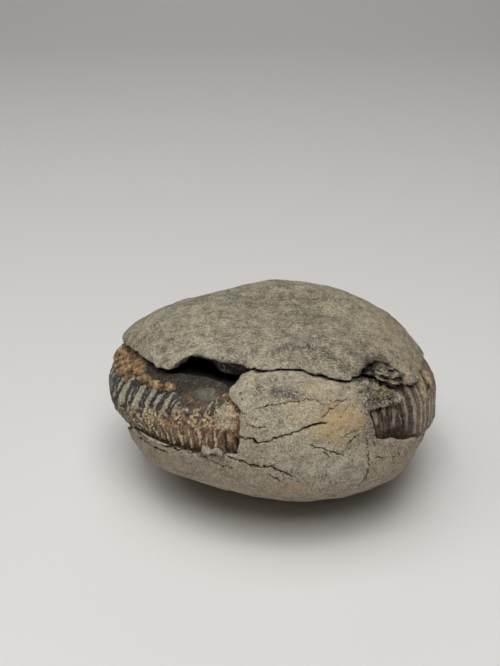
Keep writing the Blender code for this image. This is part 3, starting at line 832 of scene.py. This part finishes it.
def carve(piece, cracks):
    """Open the cracks as fine grooves in the skin."""
    points = points_of(piece.data)
    wider = [(2 * CRACK_REACH + width, deep, line) for width, deep, line in cracks]
    share, _ = crack_reach(points, wider, np.abs(depth_of(points)) < SKIN_DEPTH)
    near = share > 0
    shape = bmesh.new()
    shape.from_mesh(piece.data)
    edges = [edge for edge in shape.edges if all(near[corner.index] for corner in edge.verts)]
    bmesh.ops.subdivide_edges(shape, edges=edges, cuts=CRACK_CUTS, use_grid_fill=True)
    shape.to_mesh(piece.data)
    shape.free()
    points = points_of(piece.data)
    share, depth = crack_reach(points, cracks, np.abs(depth_of(points)) < SKIN_DEPTH)
    inward = -points / np.linalg.norm(points, axis=1)[:, None]
    points += inward * (depth * np.clip(share * 1.3, 0, 1))[:, None]
    piece.data.vertices.foreach_set("co", (points * MM).astype(np.float32).ravel())
    piece.data.update()
    return ease(-0.1, 0.5, share)


def in_pocket(points):
    """Where the base's inner side is out of sight."""
    return depth_of(points) > BASE_HIDDEN


base = stone_piece("base_stone_skin", base_form, BASE_BOX, in_pocket, BASE_FACES)
mark(base.data, "crack", carve(base, CRACKS))
points = points_of(base.data)
azimuth, _ = polar(points)
frayed = 0.9 * grain(points, 4, 43) + 0.5 * grain(points, 1.5, 44)
under = along(UNDER_LINE, leftward(azimuth)) - points[:, 2] + frayed
mark(base.data, "under", ease(-0.8, 0.8, under))
mark(base.data, "crust", crust_share(points))
deep = depth_of(points)
in_split = ease(-1.6, -0.4, points[:, 2] - along(SPLIT_EDGE, azimuth))
# soot and painted shade on the broken faces inside the split and deep in the pocket
mark(base.data, "inner", np.maximum(ease(1.6, 3.2, deep), in_split * ease(0.35, 0.9, deep)))
for name, patches in BASE_PATCHES.items():
    mark(base.data, name, spots(points, patches))
base.data.materials.append(mudstone("base mudstone", BASE_FRESH, BASE_WORN, BASE_BROWN_WITH_LIGHT, BASE_LIVELY))
base.data.shade_smooth()
lay_down(base)
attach(base, "root")
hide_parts("base_stone")

# ---------------------------------------------------------------------------------------------------
# Ammonite. A coiled shell turned to dark mineral, its outer whorl ribbed: strong ribs at the left, then
# finer ones below a knotted band, darker ones at the right. It lies loose in the pocket of the base.
# ---------------------------------------------------------------------------------------------------
COUNT_FROM = 168.0                      # azimuths past this, at the shell's opening, are counted below -180
INNER_TURNS = (350.0, 250.0)            # degrees
INNER_SHRINK = 0.97
INNER_RINGS = 90
INNER_SIDE = 12                         # degrees of the section that one side of an inner whorl takes
TURN_OVERLAP = 12.0
RING_SPACING = ((0, 0.7), (22, 0.38), (88, 1.2), (122, 0.42), (172, 0.8), (200, 1.5), (OUTER_TURN, 1))
SIDE_SPACING = ((-180, 9.0), (-108, 2.5), (-60, 1.35), (110, 6.0), (170, 10.0), (180, 9.0))
RIB_RELIEF = 0.095                      # share of the section's half size between a groove and a ridge
PLAIN_CUT = 0.45                        # share of that relief by which the ribless inner side lies in
SHOULDER = (                            # azimuth and height where the smooth flank begins
    (-191, 13.5), (-162, 13.5), (-157, 12.8), (-152, 11.6), (-150, 10.8), (-145, 10.3), (-140, 10.7),
    (-136, 11.5), (-133, 11.0), (-130, 10.5), (-127, 11.1), (-125, 12.2), (-118, 12.6), (-113, 11.8),
    (-107, 10.8), (-64, 12.5), (-50, 14.0), (-40, 14.0), (-25, 13), (18, 12),
)
KNOT_BAND = (                           # middle of the knotted band between the upper and the lower ribs
    (-191, -4), (-165, -1.5), (-152, -0.2), (-146, 0.9), (-141, 1.8), (-134, 3.0), (-130, 4.2),
    (-125.7, 5.2), (-119.5, 5.3), (-117, 6.2), (-114.5, 8.0), (-111, 8.8), (-100, 8.8), (-80, -9),
)
KNOT_BAND_HALF = 2.1
STRONG_RIBS = (                         # azimuth and height of the top and the foot, half width, strength
    (-165.4, 6.4, -164.4, 0.6, 0.5, 0.5), (-162.4, 7.4, -161.6, 0.8, 0.5, 0.6),
    (-158.6, 8.4, -159.6, 2.4, 0.6, 0.75), (-153.8, 9.0, -156.2, -0.3, 1.15, 1.0),
    (-150.8, 6.6, -151.3, 0.8, 0.5, 0.7), (-149.3, 8.2, -149.0, 4.4, 0.5, 0.5),
    (-145.5, 9.0, -147.8, 1.2, 1.1, 1.0), (-143.4, 7.2, -144.2, 2.4, 0.4, 0.5),
    (-139.4, 10.7, -141.9, 5.3, 1.0, 0.95), (-141.8, 5.4, -142.7, 0.2, 0.75, 0.85),
    (-136.8, 8.9, -138.4, 5.3, 0.9, 0.95), (-138.5, 5.2, -138.7, 0.9, 0.6, 0.75),
    (-132.6, 9.5, -135.1, 3.2, 0.85, 1.0), (-131.0, 8.6, -131.8, 5.8, 0.5, 0.65),
    (-129.2, 7.8, -130.3, 5.7, 0.5, 0.95),
)
FACET_RIBS = (
    (-129.0, 10.0, -129.8, 8.2, 0.4, 0.5), (-125.0, 9.9, -126.9, 7.6, 0.4, 0.65),
    (-126.9, 7.8, -126.9, 6.0, 0.4, 0.65), (-122.1, 9.6, -123.2, 7.4, 0.4, 0.6),
    (-117.9, 9.7, -119.4, 6.1, 0.45, 0.8),
)
FINE_RIBS = (
    (-130.9, 1.4, -130.1, -3.4, 0.34, 0.95), (-128.1, 2.2, -126.4, -3.3, 0.36, 1.0),
    (-124.2, 2.6, -123.1, -3.2, 0.34, 1.0), (-120.6, 3.3, -120.0, -2.6, 0.34, 0.9),
    (-118.0, 2.6, -117.6, -2.4, 0.38, 0.7), (-115.3, 3.0, -115.0, -2.0, 0.45, 0.7),
    (-110.6, 3.2, -110.8, -1.8, 0.80, 0.45), (-133.4, 1.6, -131.6, -3.6, 0.33, 0.9),
    (-136.2, 1.7, -133.8, -3.6, 0.33, 0.9), (-138.8, 1.7, -135.8, -3.6, 0.34, 0.95),
    (-141.4, 1.5, -138.2, -3.7, 0.34, 0.9), (-144.2, 1.3, -140.6, -3.8, 0.36, 0.95),
    (-147.0, 1.1, -143.2, -3.8, 0.34, 0.9), (-149.8, 0.7, -145.8, -4.0, 0.36, 0.95),
    (-152.8, 0.4, -148.6, -4.2, 0.34, 0.9), (-155.8, 0.2, -151.4, -4.2, 0.36, 0.95),
    (-159.0, -0.2, -154.4, -4.4, 0.36, 0.9), (-162.4, -0.6, -157.6, -4.4, 0.36, 0.9),
    (-166.0, -1.0, -161.0, -4.6, 0.36, 0.9),
    (-122.3, 2.0, -121.6, -1.8, 0.30, 0.5), (-126.0, 1.2, -125.2, -2.4, 0.28, 0.45),
    (-129.3, 0.8, -128.5, -2.6, 0.28, 0.45),
)
LOW_GAPS = ((-112.2, 2.8, -111.7, -1.0, 0.35, 1.0), (-108.7, 2.0, -107.6, -2.0, 0.55, 1.0))
RIGHT_RIBS = (
    (-62.6, 8.8, -61.6, 4.6, 1.0, 1.0), (-58.0, 9.6, -58.4, 6.2, 0.9, 0.9),
    (-53.5, 9.0, -54.0, 2.6, 0.8, 0.8), (-52.8, 7.4, -50.0, 3.2, 0.6, 0.7),
    (-47.6, 11.0, -47.1, -0.4, 0.8, 0.75), (-43.0, 12.2, -41.4, -1.6, 1.15, 1.0),
    (-37.7, 11.2, -36.4, -2.2, 0.8, 0.75), (-34.2, 10.6, -33.0, -2.4, 0.7, 0.75),
    (-28.8, 6.4, -28.2, -3.2, 0.9, 0.7),
)
RIGHT_GROOVES = (
    (-64.6, 7.8, -63.8, 2.0, 0.6, 1.0), (-60.2, 8.4, -60.3, 0.8, 0.5, 1.0),
    (-56.0, 8.8, -55.7, -0.4, 0.6, 0.9), (-51.8, 5.8, -51.4, -1.4, 0.6, 0.9),
    (-49.7, 10.0, -48.8, -1.6, 0.45, 1.0), (-45.3, 12.0, -43.6, -2.6, 0.5, 1.0),
    (-39.8, 11.4, -38.0, -3.2, 0.6, 1.0), (-36.0, 10.6, -34.8, -2.8, 0.4, 0.8),
    (-32.2, 9.6, -31.2, -2.6, 0.5, 0.9),
)
PLAIN_LEFT = (-189, -185.2, -181.5, -177.6, -173.8, -169.6)
PLAIN_RIGHT = range(-25, 22, 4)
PLAIN_RIBS = tuple((turn, 8.5, turn - 1.2, -5.0, 1.0, 0.7) for turn in PLAIN_LEFT)
PLAIN_RIBS += tuple((turn, 6.5, turn + 1.0, -5.0, 1.0, 0.7) for turn in PLAIN_RIGHT)
SHADE_EDGE = (                          # azimuth, and share of the coil's radius that lies under the cap
    (-146, 0.70), (-141, 0.885), (-138.8, 0.885), (-133.5, 0.855), (-129, 0.842), (-125.7, 0.829),
    (-122.2, 0.831), (-117.1, 0.843), (-113.6, 0.874), (-106, 0.92), (-98, 0.70),
)
SHADE_SOFT = 0.012
# patches of each kind of skin: azimuth, height, half width in degrees and half height
FLAKY = ((-172, 10.2, 10, 2.8), (-162, 10.2, 8, 3.0), (-154.5, 11.6, 5, 1.9), (-147.5, 10.2, 5, 1.1),
         (-140.5, 10.2, 4, 0.9), (-135.2, 10.7, 2.6, 0.9), (-165, 8.0, 3, 1.2))
HONEY = ((-116.2, 8.0, 1.6, 2.6), (-113.5, 10.8, 3.0, 1.0), (-114.6, 4.4, 3.4, 1.6), (-109.6, 6.5, 1.0, 3.0))
CREAM = ((-112.3, 7.0, 3.2, 3.0), (-122.5, 6.7, 1.0, 0.9))
GREEN = ((-121.4, 11.2, 3.2, 1.3), (-119.4, 10.6, 1.8, 0.9))
FACETS = ((-127.0, 9.4, 1.4, 1.3), (-123.5, 8.8, 1.3, 1.5), (-120.5, 8.6, 1.1, 1.6),
          (-113.0, 11.2, 3.2, 1.2), (-110.2, 9.6, 1.4, 1.6), (-108.3, 5.2, 0.8, 3.8))
RIGHT_HONEY = ((-31.6, 8.6, 2.0, 2.8), (-33.2, 6.4, 1.1, 1.5), (-28.5, 10.8, 1.8, 1.0),
               (-21.5, 9.0, 4.0, 2.0))
RIGHT_PITS = ((-25.8, 8.7, 1.4, 1.1), (-27.2, 7.3, 1.4, 0.8), (-24.6, 7.2, 1.1, 1.0), (-28.8, 6.4, 1.1, 0.6),
              (-26.5, 9.9, 0.9, 0.6))
# azimuths between which one kind of skin gives way to another, or the painted shade low on the right whorl
# sets in
RIGHT_START = (-80, -70)
FACET_START = (-131.5, -128.5)
NET_START = (-158, -140)
WORN_END = (-134, -144)
BRIGHT_START = (-50, -32)
LOW_SHADE_END = (-38, -50)
PLATE_LEVEL = 0.9                       # skin level of the flaky plates
FLANK_LEVEL = 0.8
SHELL_ROUGHNESS = 0.6
# how far the flank lies in under the cap, and the whorl stands out at each azimuth: shares of the half size
SUNK_FLANK = 0.13
BULGE = (
    (-191, 0.06), (-180, 0.14), (-165, 0.16), (-152, 0.11), (-135, 0.06), (-113, 0.03), (-106, 0.0),
    (-58, 0.0), (-50, 0.02), (20, 0.02), (40, 0.0),
)
BULGE_MIDDLE = 1.2                      # height of the most bulging line
BULGE_HALF = 5.5
LOW_CUT = (                             # how far the whorl is drawn in below its middle
    (-191, 0.0), (-172, 0.0), (-164, 0.03), (-157, 0.06), (-148, 0.05), (-140, 0.02), (-130, 0.0),
    (-42, 0.0), (-30, -0.03), (-18, -0.06), (10, -0.06), (25, 0.0),
)


def over_lines(azimuth, height, lines):
    """Height of a row of ribs, 0 to 1, from the line that each one follows."""
    most = np.zeros(len(azimuth))
    for top, high, foot, low, half, strength in lines:
        share = np.clip((high - height) / (high - low), 0, 1)
        leaf = half * (1.1 - 0.4 * (2 * share - 1) ** 2)
        away = np.abs(azimuth - top - (foot - top) * share) / leaf
        past = np.maximum(height - high, low - height)
        most = np.maximum(most, strength * ease(1.35, 0.65, away) * ease(0.7, -0.3, past))
    return most


def skin_patches(azimuth, height, table, frayed):
    """Patches with frayed edges: azimuth, height, half width in degrees and half height of each."""
    most = np.zeros(len(azimuth))
    for turn, up, wide, high in table:
        away = ((azimuth - turn) / wide) ** 2 + ((height - up) / high) ** 2
        most = np.maximum(most, ease(1.5, 0.6, away + frayed))
    return most


def about_coil(points):
    """Azimuth about the coil's axis, counted on past the back to the shell's opening, and distance."""
    azimuth, reach = polar(points, COIL_AXIS)
    return np.where(azimuth > COUNT_FROM, azimuth - 360, azimuth), reach


def shell_skin(points):
    """Level of the ribbed skin, 0 deep and 1 on the ridges, where each kind of skin is, and the painted
    shade low on the right whorl.
    """
    azimuth, _ = about_coil(points)
    height = points[:, 2]
    large, small = grain(points, 3.0, 50), grain(points, 1.2, 51)
    fine, pitted = grain(points, 0.7, 52), grain(points, 1.6, 53)
    line_place = azimuth + 0.28 * large + 0.20 * small
    line_height = height + 0.7 * grain(points, 2.0, 54)
    kinds = {"right": ease(*RIGHT_START, azimuth)}
    left = 1 - kinds["right"]
    over_band = height - along(KNOT_BAND, azimuth)
    upper = ease(-0.9, 0.9, over_band + 0.8 * large + 0.4 * small)
    kinds["lower"] = (1 - upper) * left
    kinds["flank"] = ease(-0.5, 0.7, height - along(SHOULDER, azimuth) + 0.5 * large + 0.3 * small)
    facet = ease(*FACET_START, azimuth + large) * left * upper * (1 - kinds["flank"])
    kinds["facet"] = facet
    band = np.exp(-(over_band / KNOT_BAND_HALF) ** 2) * ease(*NET_START, azimuth) * left
    knots = skin_patches(azimuth, height, HONEY, 0.4 * large)
    kinds["net"] = np.maximum(ease(0.10, 0.45, band + 0.25 * large), knots)
    kinds["honey"] = skin_patches(azimuth, height, RIGHT_HONEY, 0.5 * large + 0.4 * small)
    kinds["flaky"] = skin_patches(azimuth, height, FLAKY, 0.45 * large + 0.3 * small)
    kinds["cream"] = skin_patches(azimuth, height, CREAM, 0.6 * large + 0.8 * small)
    kinds["green"] = skin_patches(azimuth, height, GREEN, 0.5 * large + 0.2 * small)
    kinds["brown"] = skin_patches(azimuth, height, FACETS, 0.4 * large + 0.4 * small)
    holes = skin_patches(azimuth, height, RIGHT_PITS, 0.5 * small)
    strong = over_lines(line_place, line_height, STRONG_RIBS)
    thin = over_lines(line_place, line_height, FACET_RIBS)
    low = over_lines(azimuth + 0.35 * large + 0.3 * small, line_height, FINE_RIBS)
    side = over_lines(line_place, line_height, RIGHT_RIBS + PLAIN_RIBS)
    dark = over_lines(azimuth + 0.4 * large + 0.3 * small, line_height, RIGHT_GROOVES)
    gaps = over_lines(azimuth + 0.2 * large, line_height, LOW_GAPS)
    ridge = np.maximum.reduce((strong, thin, low, side)) * (0.95 + 0.25 * pitted)
    kinds["ridge"] = np.clip(ridge - 0.6 * dark - gaps, 0, 1)
    level = np.maximum(strong, 0.30 * facet + 0.60 * thin)
    level = np.maximum(level, kinds["lower"] * (0.30 + 0.55 * low))
    level = np.maximum(level, kinds["right"] * (0.45 + 0.35 * side - 0.45 * dark))
    drawn_out = points * (1, 1, 0.3) + np.outer(points[:, 2], (0, 0.5, 0))
    flakes = ease(-0.2, 0.2, grain(drawn_out, 1.4, 56))
    level = np.maximum(level, PLATE_LEVEL * kinds["flaky"] * (0.55 + 0.45 * flakes))
    level = np.maximum(level, 0.6 * kinds["cream"])
    level += 0.25 * kinds["net"] * ease(-0.1, 0.1, small) - 0.7 * holes - 0.6 * gaps
    level = level + (FLANK_LEVEL - level) * kinds["flank"]
    kinds["holes"] = np.maximum(holes, gaps)
    # painted shade: the right whorl darker towards its bottom
    kinds["low_shade"] = ease(4.5, 0.0, height + 0.8 * large) * ease(*LOW_SHADE_END, azimuth) * kinds["right"]
    kinds["worn"] = ease(*WORN_END, azimuth + 2 * large) * left
    kinds["bright"] = ease(*BRIGHT_START, azimuth + 3 * large - 0.8 * (height - 4)) * kinds["right"]
    return level + 0.10 * small + 0.08 * fine - 0.12 * ease(0.35, 0.6, pitted), kinds


def whorl_mesh(name, turns, rounds, swell, ribbed):
    """Closed tube along a stretch of the coil, with a ring of corners at each of its turns."""
    turned, angle = np.meshgrid(turns, rounds, indexing="ij")
    out, up = np.cos(angle), np.sin(angle)
    size = (np.abs(out) ** SECTION_POWER + np.abs(up) ** SECTION_POWER) ** (-1 / SECTION_POWER)
    radius = coil_radius(turned)
    turn = np.radians(APERTURE_AZIMUTH + turned)

    def place(scale):
        """Corners of the tube with its section drawn in or out."""
        reach = radius * (1 - SECTION_REACH + SECTION_REACH * out * size * scale)
        rise = radius * SECTION_WIDTH * up * size * scale
        return np.stack((reach * np.cos(turn), reach * np.sin(turn), rise), -1).reshape(-1, 3) + COIL_AXIS

    points = place(swell)
    if ribbed:
        level, _ = shell_skin(points)
        outside = ease(-0.25, 0.25, out.ravel())
        cut = RIB_RELIEF * (PLAIN_CUT + (1 - level - PLAIN_CUT) * outside)
        azimuth, reach = about_coil(points)
        height = points[:, 2]
        cut -= outside * along(BULGE, azimuth) * np.exp(-((height - BULGE_MIDDLE) / BULGE_HALF) ** 2)
        cut += outside * along(LOW_CUT, azimuth) * ease(0.5, -3.0, height)
        sunk = ease(SHADE_SOFT, -SHADE_SOFT, reach / radius.ravel() - along(SHADE_EDGE, azimuth))
        cut += SUNK_FLANK * sunk * (up.ravel() > 0)
        points = place(swell * (1 - cut.reshape(turned.shape)))
    rings, sides = turned.shape
    ring = np.arange(rings * sides).reshape(rings, sides)
    following = np.roll(ring, -1, axis=1)
    faces = np.stack((ring[:-1], ring[1:], following[1:], following[:-1]), -1).reshape(-1, 4).tolist()
    faces += [ring[0].tolist(), ring[-1][::-1].tolist()]
    mesh = bpy.data.meshes.new(name)
    mesh.from_pydata((points * MM).tolist(), [], faces)
    shape = bmesh.new()
    shape.from_mesh(mesh)
    bmesh.ops.recalc_face_normals(shape, faces=shape.faces)
    if shape.calc_volume(signed=True) < 0:
        bmesh.ops.reverse_faces(shape, faces=shape.faces)
    shape.to_mesh(mesh)
    shape.free()
    made = bpy.data.objects.new(name, mesh)
    bpy.context.scene.collection.objects.link(made)
    return made


def uneven(stops):
    """Places along (place, spacing) stops, each stretch at its own spacing up to the next stop."""
    places = [stops[0][0]]
    for (start, spacing), (end, _) in zip(stops, stops[1:]):
        count = max(round((end - start) / spacing), 1)
        places += [start + (end - start) * n / count for n in range(1, count + 1)]
    return np.array(places)


rounds = np.radians(uneven(SIDE_SPACING)[:-1])
shell = whorl_mesh("ammonite_shell", uneven(RING_SPACING), rounds, 1.0, True)
start = OUTER_TURN - TURN_OVERLAP
for number, length in enumerate(INNER_TURNS):
    rings = np.linspace(start, start + length, INNER_RINGS)
    rounds = np.radians(np.arange(-180, 180, INNER_SIDE))
    inner = whorl_mesh(f"inner_whorl_{number + 1}", rings, rounds, INNER_SHRINK ** (number + 1), False)
    join = shell.modifiers.new("inner whorl", "BOOLEAN")
    join.operation = "UNION"
    join.solver = "MANIFOLD"
    join.object = inner
    apply_modifiers(shell)
    bpy.data.objects.remove(inner)
    start += length - TURN_OVERLAP

points = points_of(shell.data)
_, kinds = shell_skin(points)
for name, values in kinds.items():
    mark(shell.data, name, values)
azimuth, reach = about_coil(points)
turned = (azimuth - APERTURE_AZIMUTH) % 360
inward = along(SHADE_EDGE, azimuth) - reach / coil_radius(turned) + 0.006 * grain(points, 2.0, 57)
mark(shell.data, "shade", ease(-0.008, 0.02, inward) * (points[:, 2] > COIL_AXIS[2]))

fossil = Nodes("fossil shell", SHELL_ROUGHNESS)
fine = fossil.mottle(0.6, 4, rough=0.75)
speck = fossil.mottle(0.32, 2, rough=0.8)
middle = fossil.mottle(2.0, 3)
streak = fossil.mottle(0.8, 3, (1, 1, 3.3))
slanting = fossil.mottle(1.5, 4, (1, 1, 4.0), (0.7, 0, 0), 0.6)
# grooves: nearly black between the strong ribs, partly painted shade of the ribs, red to worn brown between
# the low ones and at the right
red_brown = fossil.tones(streak, 0.4, 0.6, (0.110, 0.069, 0.045), (0.31, 0.200, 0.120))
worn_brown = fossil.tones(streak, 0.4, 0.6, (0.105, 0.086, 0.062), (0.29, 0.235, 0.165))
right_brown = fossil.tones(streak, 0.4, 0.6, (0.043, 0.031, 0.022), (0.180, 0.128, 0.083))
groove = fossil.tones(fine, 0.4, 0.6, (0.038, 0.035, 0.033), (0.105, 0.095, 0.082))
groove = fossil.over(groove, "lower", fossil.over(red_brown, "worn", worn_brown))
groove = fossil.over(groove, "facet", (0.088, 0.074, 0.060))
groove = fossil.over(groove, "right", fossil.over(right_brown, "bright", (0.25, 0.190, 0.135)))
# ridges: pale grey, honey on the low ribs
crest = fossil.tones(streak, 0.42, 0.58, (0.31, 0.28, 0.21), (0.50, 0.455, 0.34))
crest = fossil.over(crest, "lower", (0.56, 0.46, 0.31))
crest = fossil.over(crest, "facet", (0.30, 0.285, 0.255))
right_crest = fossil.mix(fossil.value("bright"), (0.310, 0.270, 0.220), (0.47, 0.40, 0.31))
crest = fossil.over(crest, "right", right_crest)
level = fossil.math("ADD", fossil.value("ridge"), fossil.reach(fine, 0.3, 0.7, -0.15, 0.15))
colour = fossil.tones(level, 0.40, 0.65, groove, crest)
colour = fossil.over(colour, "brown", (0.185, 0.105, 0.062), fossil.reach(fine, 0.35, 0.6, 0.3, 0.9))
# the dark flank under the cap, orange flaky plates, and green and cream patches
flank = fossil.tones(fine, 0.4, 0.62, (0.027, 0.024, 0.018), (0.085, 0.072, 0.050))
colour = fossil.over(colour, "flank", flank)
orange = fossil.tones(slanting, 0.38, 0.52, (0.050, 0.034, 0.020), (0.37, 0.215, 0.098))
orange = fossil.tones(slanting, 0.54, 0.64, orange, (0.60, 0.475, 0.28))
orange = fossil.mix(fossil.reach(middle, 0.50, 0.62, 0, 0.35), orange, (0.10, 0.075, 0.05))
colour = fossil.over(colour, "flaky", orange, 0.9)
colour = fossil.over(colour, "green", (0.165, 0.160, 0.122), 0.85)
colour = fossil.over(colour, "cream", (0.40, 0.36, 0.265), fossil.reach(fine, 0.3, 0.5, 0.3, 1))
# broken net of honey lines over the knotted band, whole honey patches at the right, and the dark holes
honey = fossil.tones(fine, 0.38, 0.60, (0.30, 0.215, 0.125), (0.66, 0.51, 0.30))
net = fossil.reach(fossil.off_middle(fossil.mottle(1.6, 2)), 0.085, 0.045)
net = fossil.times(net, fossil.reach(fossil.mottle(2.6, 1), 0.40, 0.50))
net = fossil.times(net, fossil.value("net"))
colour = fossil.mix(fossil.math("MAXIMUM", net, fossil.value("honey")), colour, honey)
colour = fossil.over(colour, "holes", (0.03, 0.025, 0.02))
light = fossil.times(fossil.reach(fine, 0.25, 0.75, 0.6, 1.4), fossil.reach(middle, 0.3, 0.7, 0.8, 1.2))
light = fossil.times(light, fossil.reach(speck, 0.35, 0.65, 0.55, 1.45))
# painted shade low on the right whorl
light = fossil.times(light, fossil.reach(fossil.value("low_shade"), 0, 1, 1, 0.5))
colour = fossil.over(fossil.scaled(colour, light), "shade", (0.012, 0.011, 0.010))
roughness = fossil.reach(middle, 0.3, 0.7, 0.45, 0.75)
shell.data.materials.clear()
shell.data.materials.append(fossil.finished(colour, roughness, fossil.bump(fine, 0.5)))
shell.data.shade_smooth()
lay_down(shell)
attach(shell, "root")
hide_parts("ammonite")

# ---------------------------------------------------------------------------------------------------
# Cap stone. The upper half of the nodule, set back on the split: a smooth weathered dome whose front edge
# is broken into a thin overhanging lip, with an open hollow at the left and a bitten-out notch with a
# layered lump at the right.
# ---------------------------------------------------------------------------------------------------
# broken out of the front edge: place as azimuth, reach and height; half sizes outward, along and up
HOLLOWS = (
    ((-127, 31, 14.4), (11.5, 5.5, 4.0)),
    ((-51.0, 40.0, 15.5), (5.0, 4.2, 2.5)),
    ((-46.0, 38.4, 16.6), (3.7, 4.0, 1.4)),
)
LUMP = ((-43.3, 39.9, 14.4), (3.3, 3.6, 2.2))
LUMP_ROUGH = 0.7
LAYER_HEIGHT = 1.6                      # from one layer of the lump to the next
LAYER_TILT = 0.22
LAYER_DEPTH = 0.45
MOAT = 0.8                              # groove round the lump
MOAT_DEPTH = 1.8
LIP = (-34, 11.6, 11, 3.6)              # edge lapping over the shell at the right, as a bell's place
LIP_PROUD = 1.05
RIM_GAP = 0.25                          # how much wider the split is at its rim
RIM_REACH = (38, 44)
WEDGE = (-43.5, 8.0, 1.2)               # gap under the lump: azimuth, spread and height
ROUGH_EDGE = (-111, 10)                 # azimuth and spread of the roughly broken edge over the hollow
CAP_BOX = ((-47, -48, 0), (47, 46, 32))
CAP_FACES = 100000
CAP_HIDDEN = 9.0
CAP_HIDDEN_BELOW = 20
# soot and painted shade in the notch beside the lump
SOOT_AND_SHADE = ((1.0, -45, 17.2, 8, 1.9, 0.5, 60), (1.0, -53, 15.5, 6.0, 2.6, 0.5, 62))
CAP_STAINS = (
    (0.65, -81, 21.5, 11, 1.5, 1.1, 64), (0.55, -143, 19.5, 4, 2.0, 1.1, 66),
    (0.55, -64, 21.9, 6, 1.0, 1.1, 74), (0.45, -58, 19.0, 12, 3.5, 0.9, 68),
)
# painted light on the cap's left front
PAINTED_LIGHT_FRONT = ((0.4, -134, 18.0, 16, 3.5, 0.8, 78),)
LUMP_YELLOW = ((1.0, -46.4, 15.2, 1.6, 0.7, 0.5, 72),)
# a bluish stain on the top, and painted shade on the cap's front
BLUISH_TOP_AND_FRONT_SHADE = ((0.38, -3, 1, 12, 10), (0.15, 4, -22, 15, 10))    # strength, x, y and half sizes
TONGUE = (-136, 6)                      # azimuth and spread of the clean tongue left of the hollow
CAP_FRESH = (0.305, 0.264, 0.188)
CAP_WORN = (0.226, 0.202, 0.150)
CAP_BROWN = (0.17, 0.137, 0.095)
CAP_LIVELY = 1.4


def lump_form(points, detail):
    """Layered lump standing out of the notch."""
    form = egg(points, *LUMP, LUMP_ROUGH, 22, detail)
    if detail:
        form = form + LAYER_DEPTH * layers(points)
    return form


def layers(points):
    """Rise and fall of the lump's thin layers, -1 to 1."""
    height = points[:, 2] + LAYER_TILT * points[:, 0] + 0.5 * grain(points, 2.5, 24)
    return np.sin(2 * math.pi * height / LAYER_HEIGHT)


def cap_form(points, detail):
    """The cap stone: below 0 inside, above 0 outside."""
    azimuth, reach = polar(points)
    gap = SPLIT_GAP / 2 + RIM_GAP * ease(*RIM_REACH, reach)
    gap += WEDGE[2] * np.exp(-((azimuth - WEDGE[0]) / WEDGE[1]) ** 2)
    form = both(nodule(points, detail) - LIP_PROUD * bell(points, LIP), gap - split(points, detail), 0.6)
    if detail:
        broken = np.exp(-((azimuth - ROUGH_EDGE[0]) / ROUGH_EDGE[1]) ** 2)
        broken *= ease(42.5, 40.5, reach) * ease(19.2, 18.4, points[:, 2])
        form += broken * (0.7 * grain(points, 1.9, 10) + 0.5 * grain(points, 0.9, 11))
    for number, (place, sizes) in enumerate(HOLLOWS):
        form = both(form, -egg(points, place, sizes, 0.4, 12 + 2 * number, detail), 0.4)
    lump = lump_form(points, detail)
    form = both(form, -np.maximum(lump - MOAT, depth_of(points) - MOAT_DEPTH), 0.2)
    form = joined(form, lump, 0.1)
    return both(form, -pocket(points), 0.3)


def under_cap(points):
    """Where the cap's inner side is out of sight."""
    return (depth_of(points) > CAP_HIDDEN) & (points[:, 2] < CAP_HIDDEN_BELOW)


cap = stone_piece("cap_stone_skin", cap_form, CAP_BOX, under_cap, CAP_FACES)
points = points_of(cap.data)
azimuth, _ = polar(points)
deep = depth_of(points)
off_tongue = 1 - np.exp(-((azimuth - TONGUE[0]) / TONGUE[1]) ** 2)
lump = ease(0.5, 0.1, lump_form(points, True))
# soot and painted shade on the cap's inner and broken faces and in the notch
inner = np.maximum(ease(0.9, 2.0, deep) * off_tongue, ease(2.4, 4.0, deep))
in_split = ease(1.0, 0.2, points[:, 2] - along(SPLIT_EDGE, azimuth)) * off_tongue
inner = np.maximum(inner, in_split * ease(0.4, 0.9, deep))
inner = np.maximum(inner, 0.6 * spots(points, SOOT_AND_SHADE)) * (1 - lump)
# bluish stain on the top and painted shade on the front, laid on with the stains
bluish_and_front_shade = sum(strength * np.exp(-((points[:, 0] - x) / wide) ** 2 - ((points[:, 1] - y) / far) ** 2)
             for strength, x, y, wide, far in BLUISH_TOP_AND_FRONT_SHADE)
pale_layers = 0.7 * lump * ease(-0.5, -0.9, layers(points))
mark(cap.data, "ochre", 0.22 * ease(8, 34, points[:, 0] + 6 * grain(points, 9, 70)))
mark(cap.data, "stain_and_shade", np.maximum(spots(points, CAP_STAINS), bluish_and_front_shade))
mark(cap.data, "inner", inner)
mark(cap.data, "crust", lump)
mark(cap.data, "yellow", spots(points, LUMP_YELLOW))
# painted shade in the grooves between the lump's layers
mark(cap.data, "crack", lump * ease(0.2, 0.9, layers(points)))
# pale layers of the lump, and painted light on the cap's left front
mark(cap.data, "pale", np.maximum(spots(points, PAINTED_LIGHT_FRONT), pale_layers))
cap.data.materials.append(mudstone("cap mudstone", CAP_FRESH, CAP_WORN, CAP_BROWN, CAP_LIVELY))
cap.data.shade_smooth()
lay_down(cap)
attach(cap, "root")
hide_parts("cap_stone")
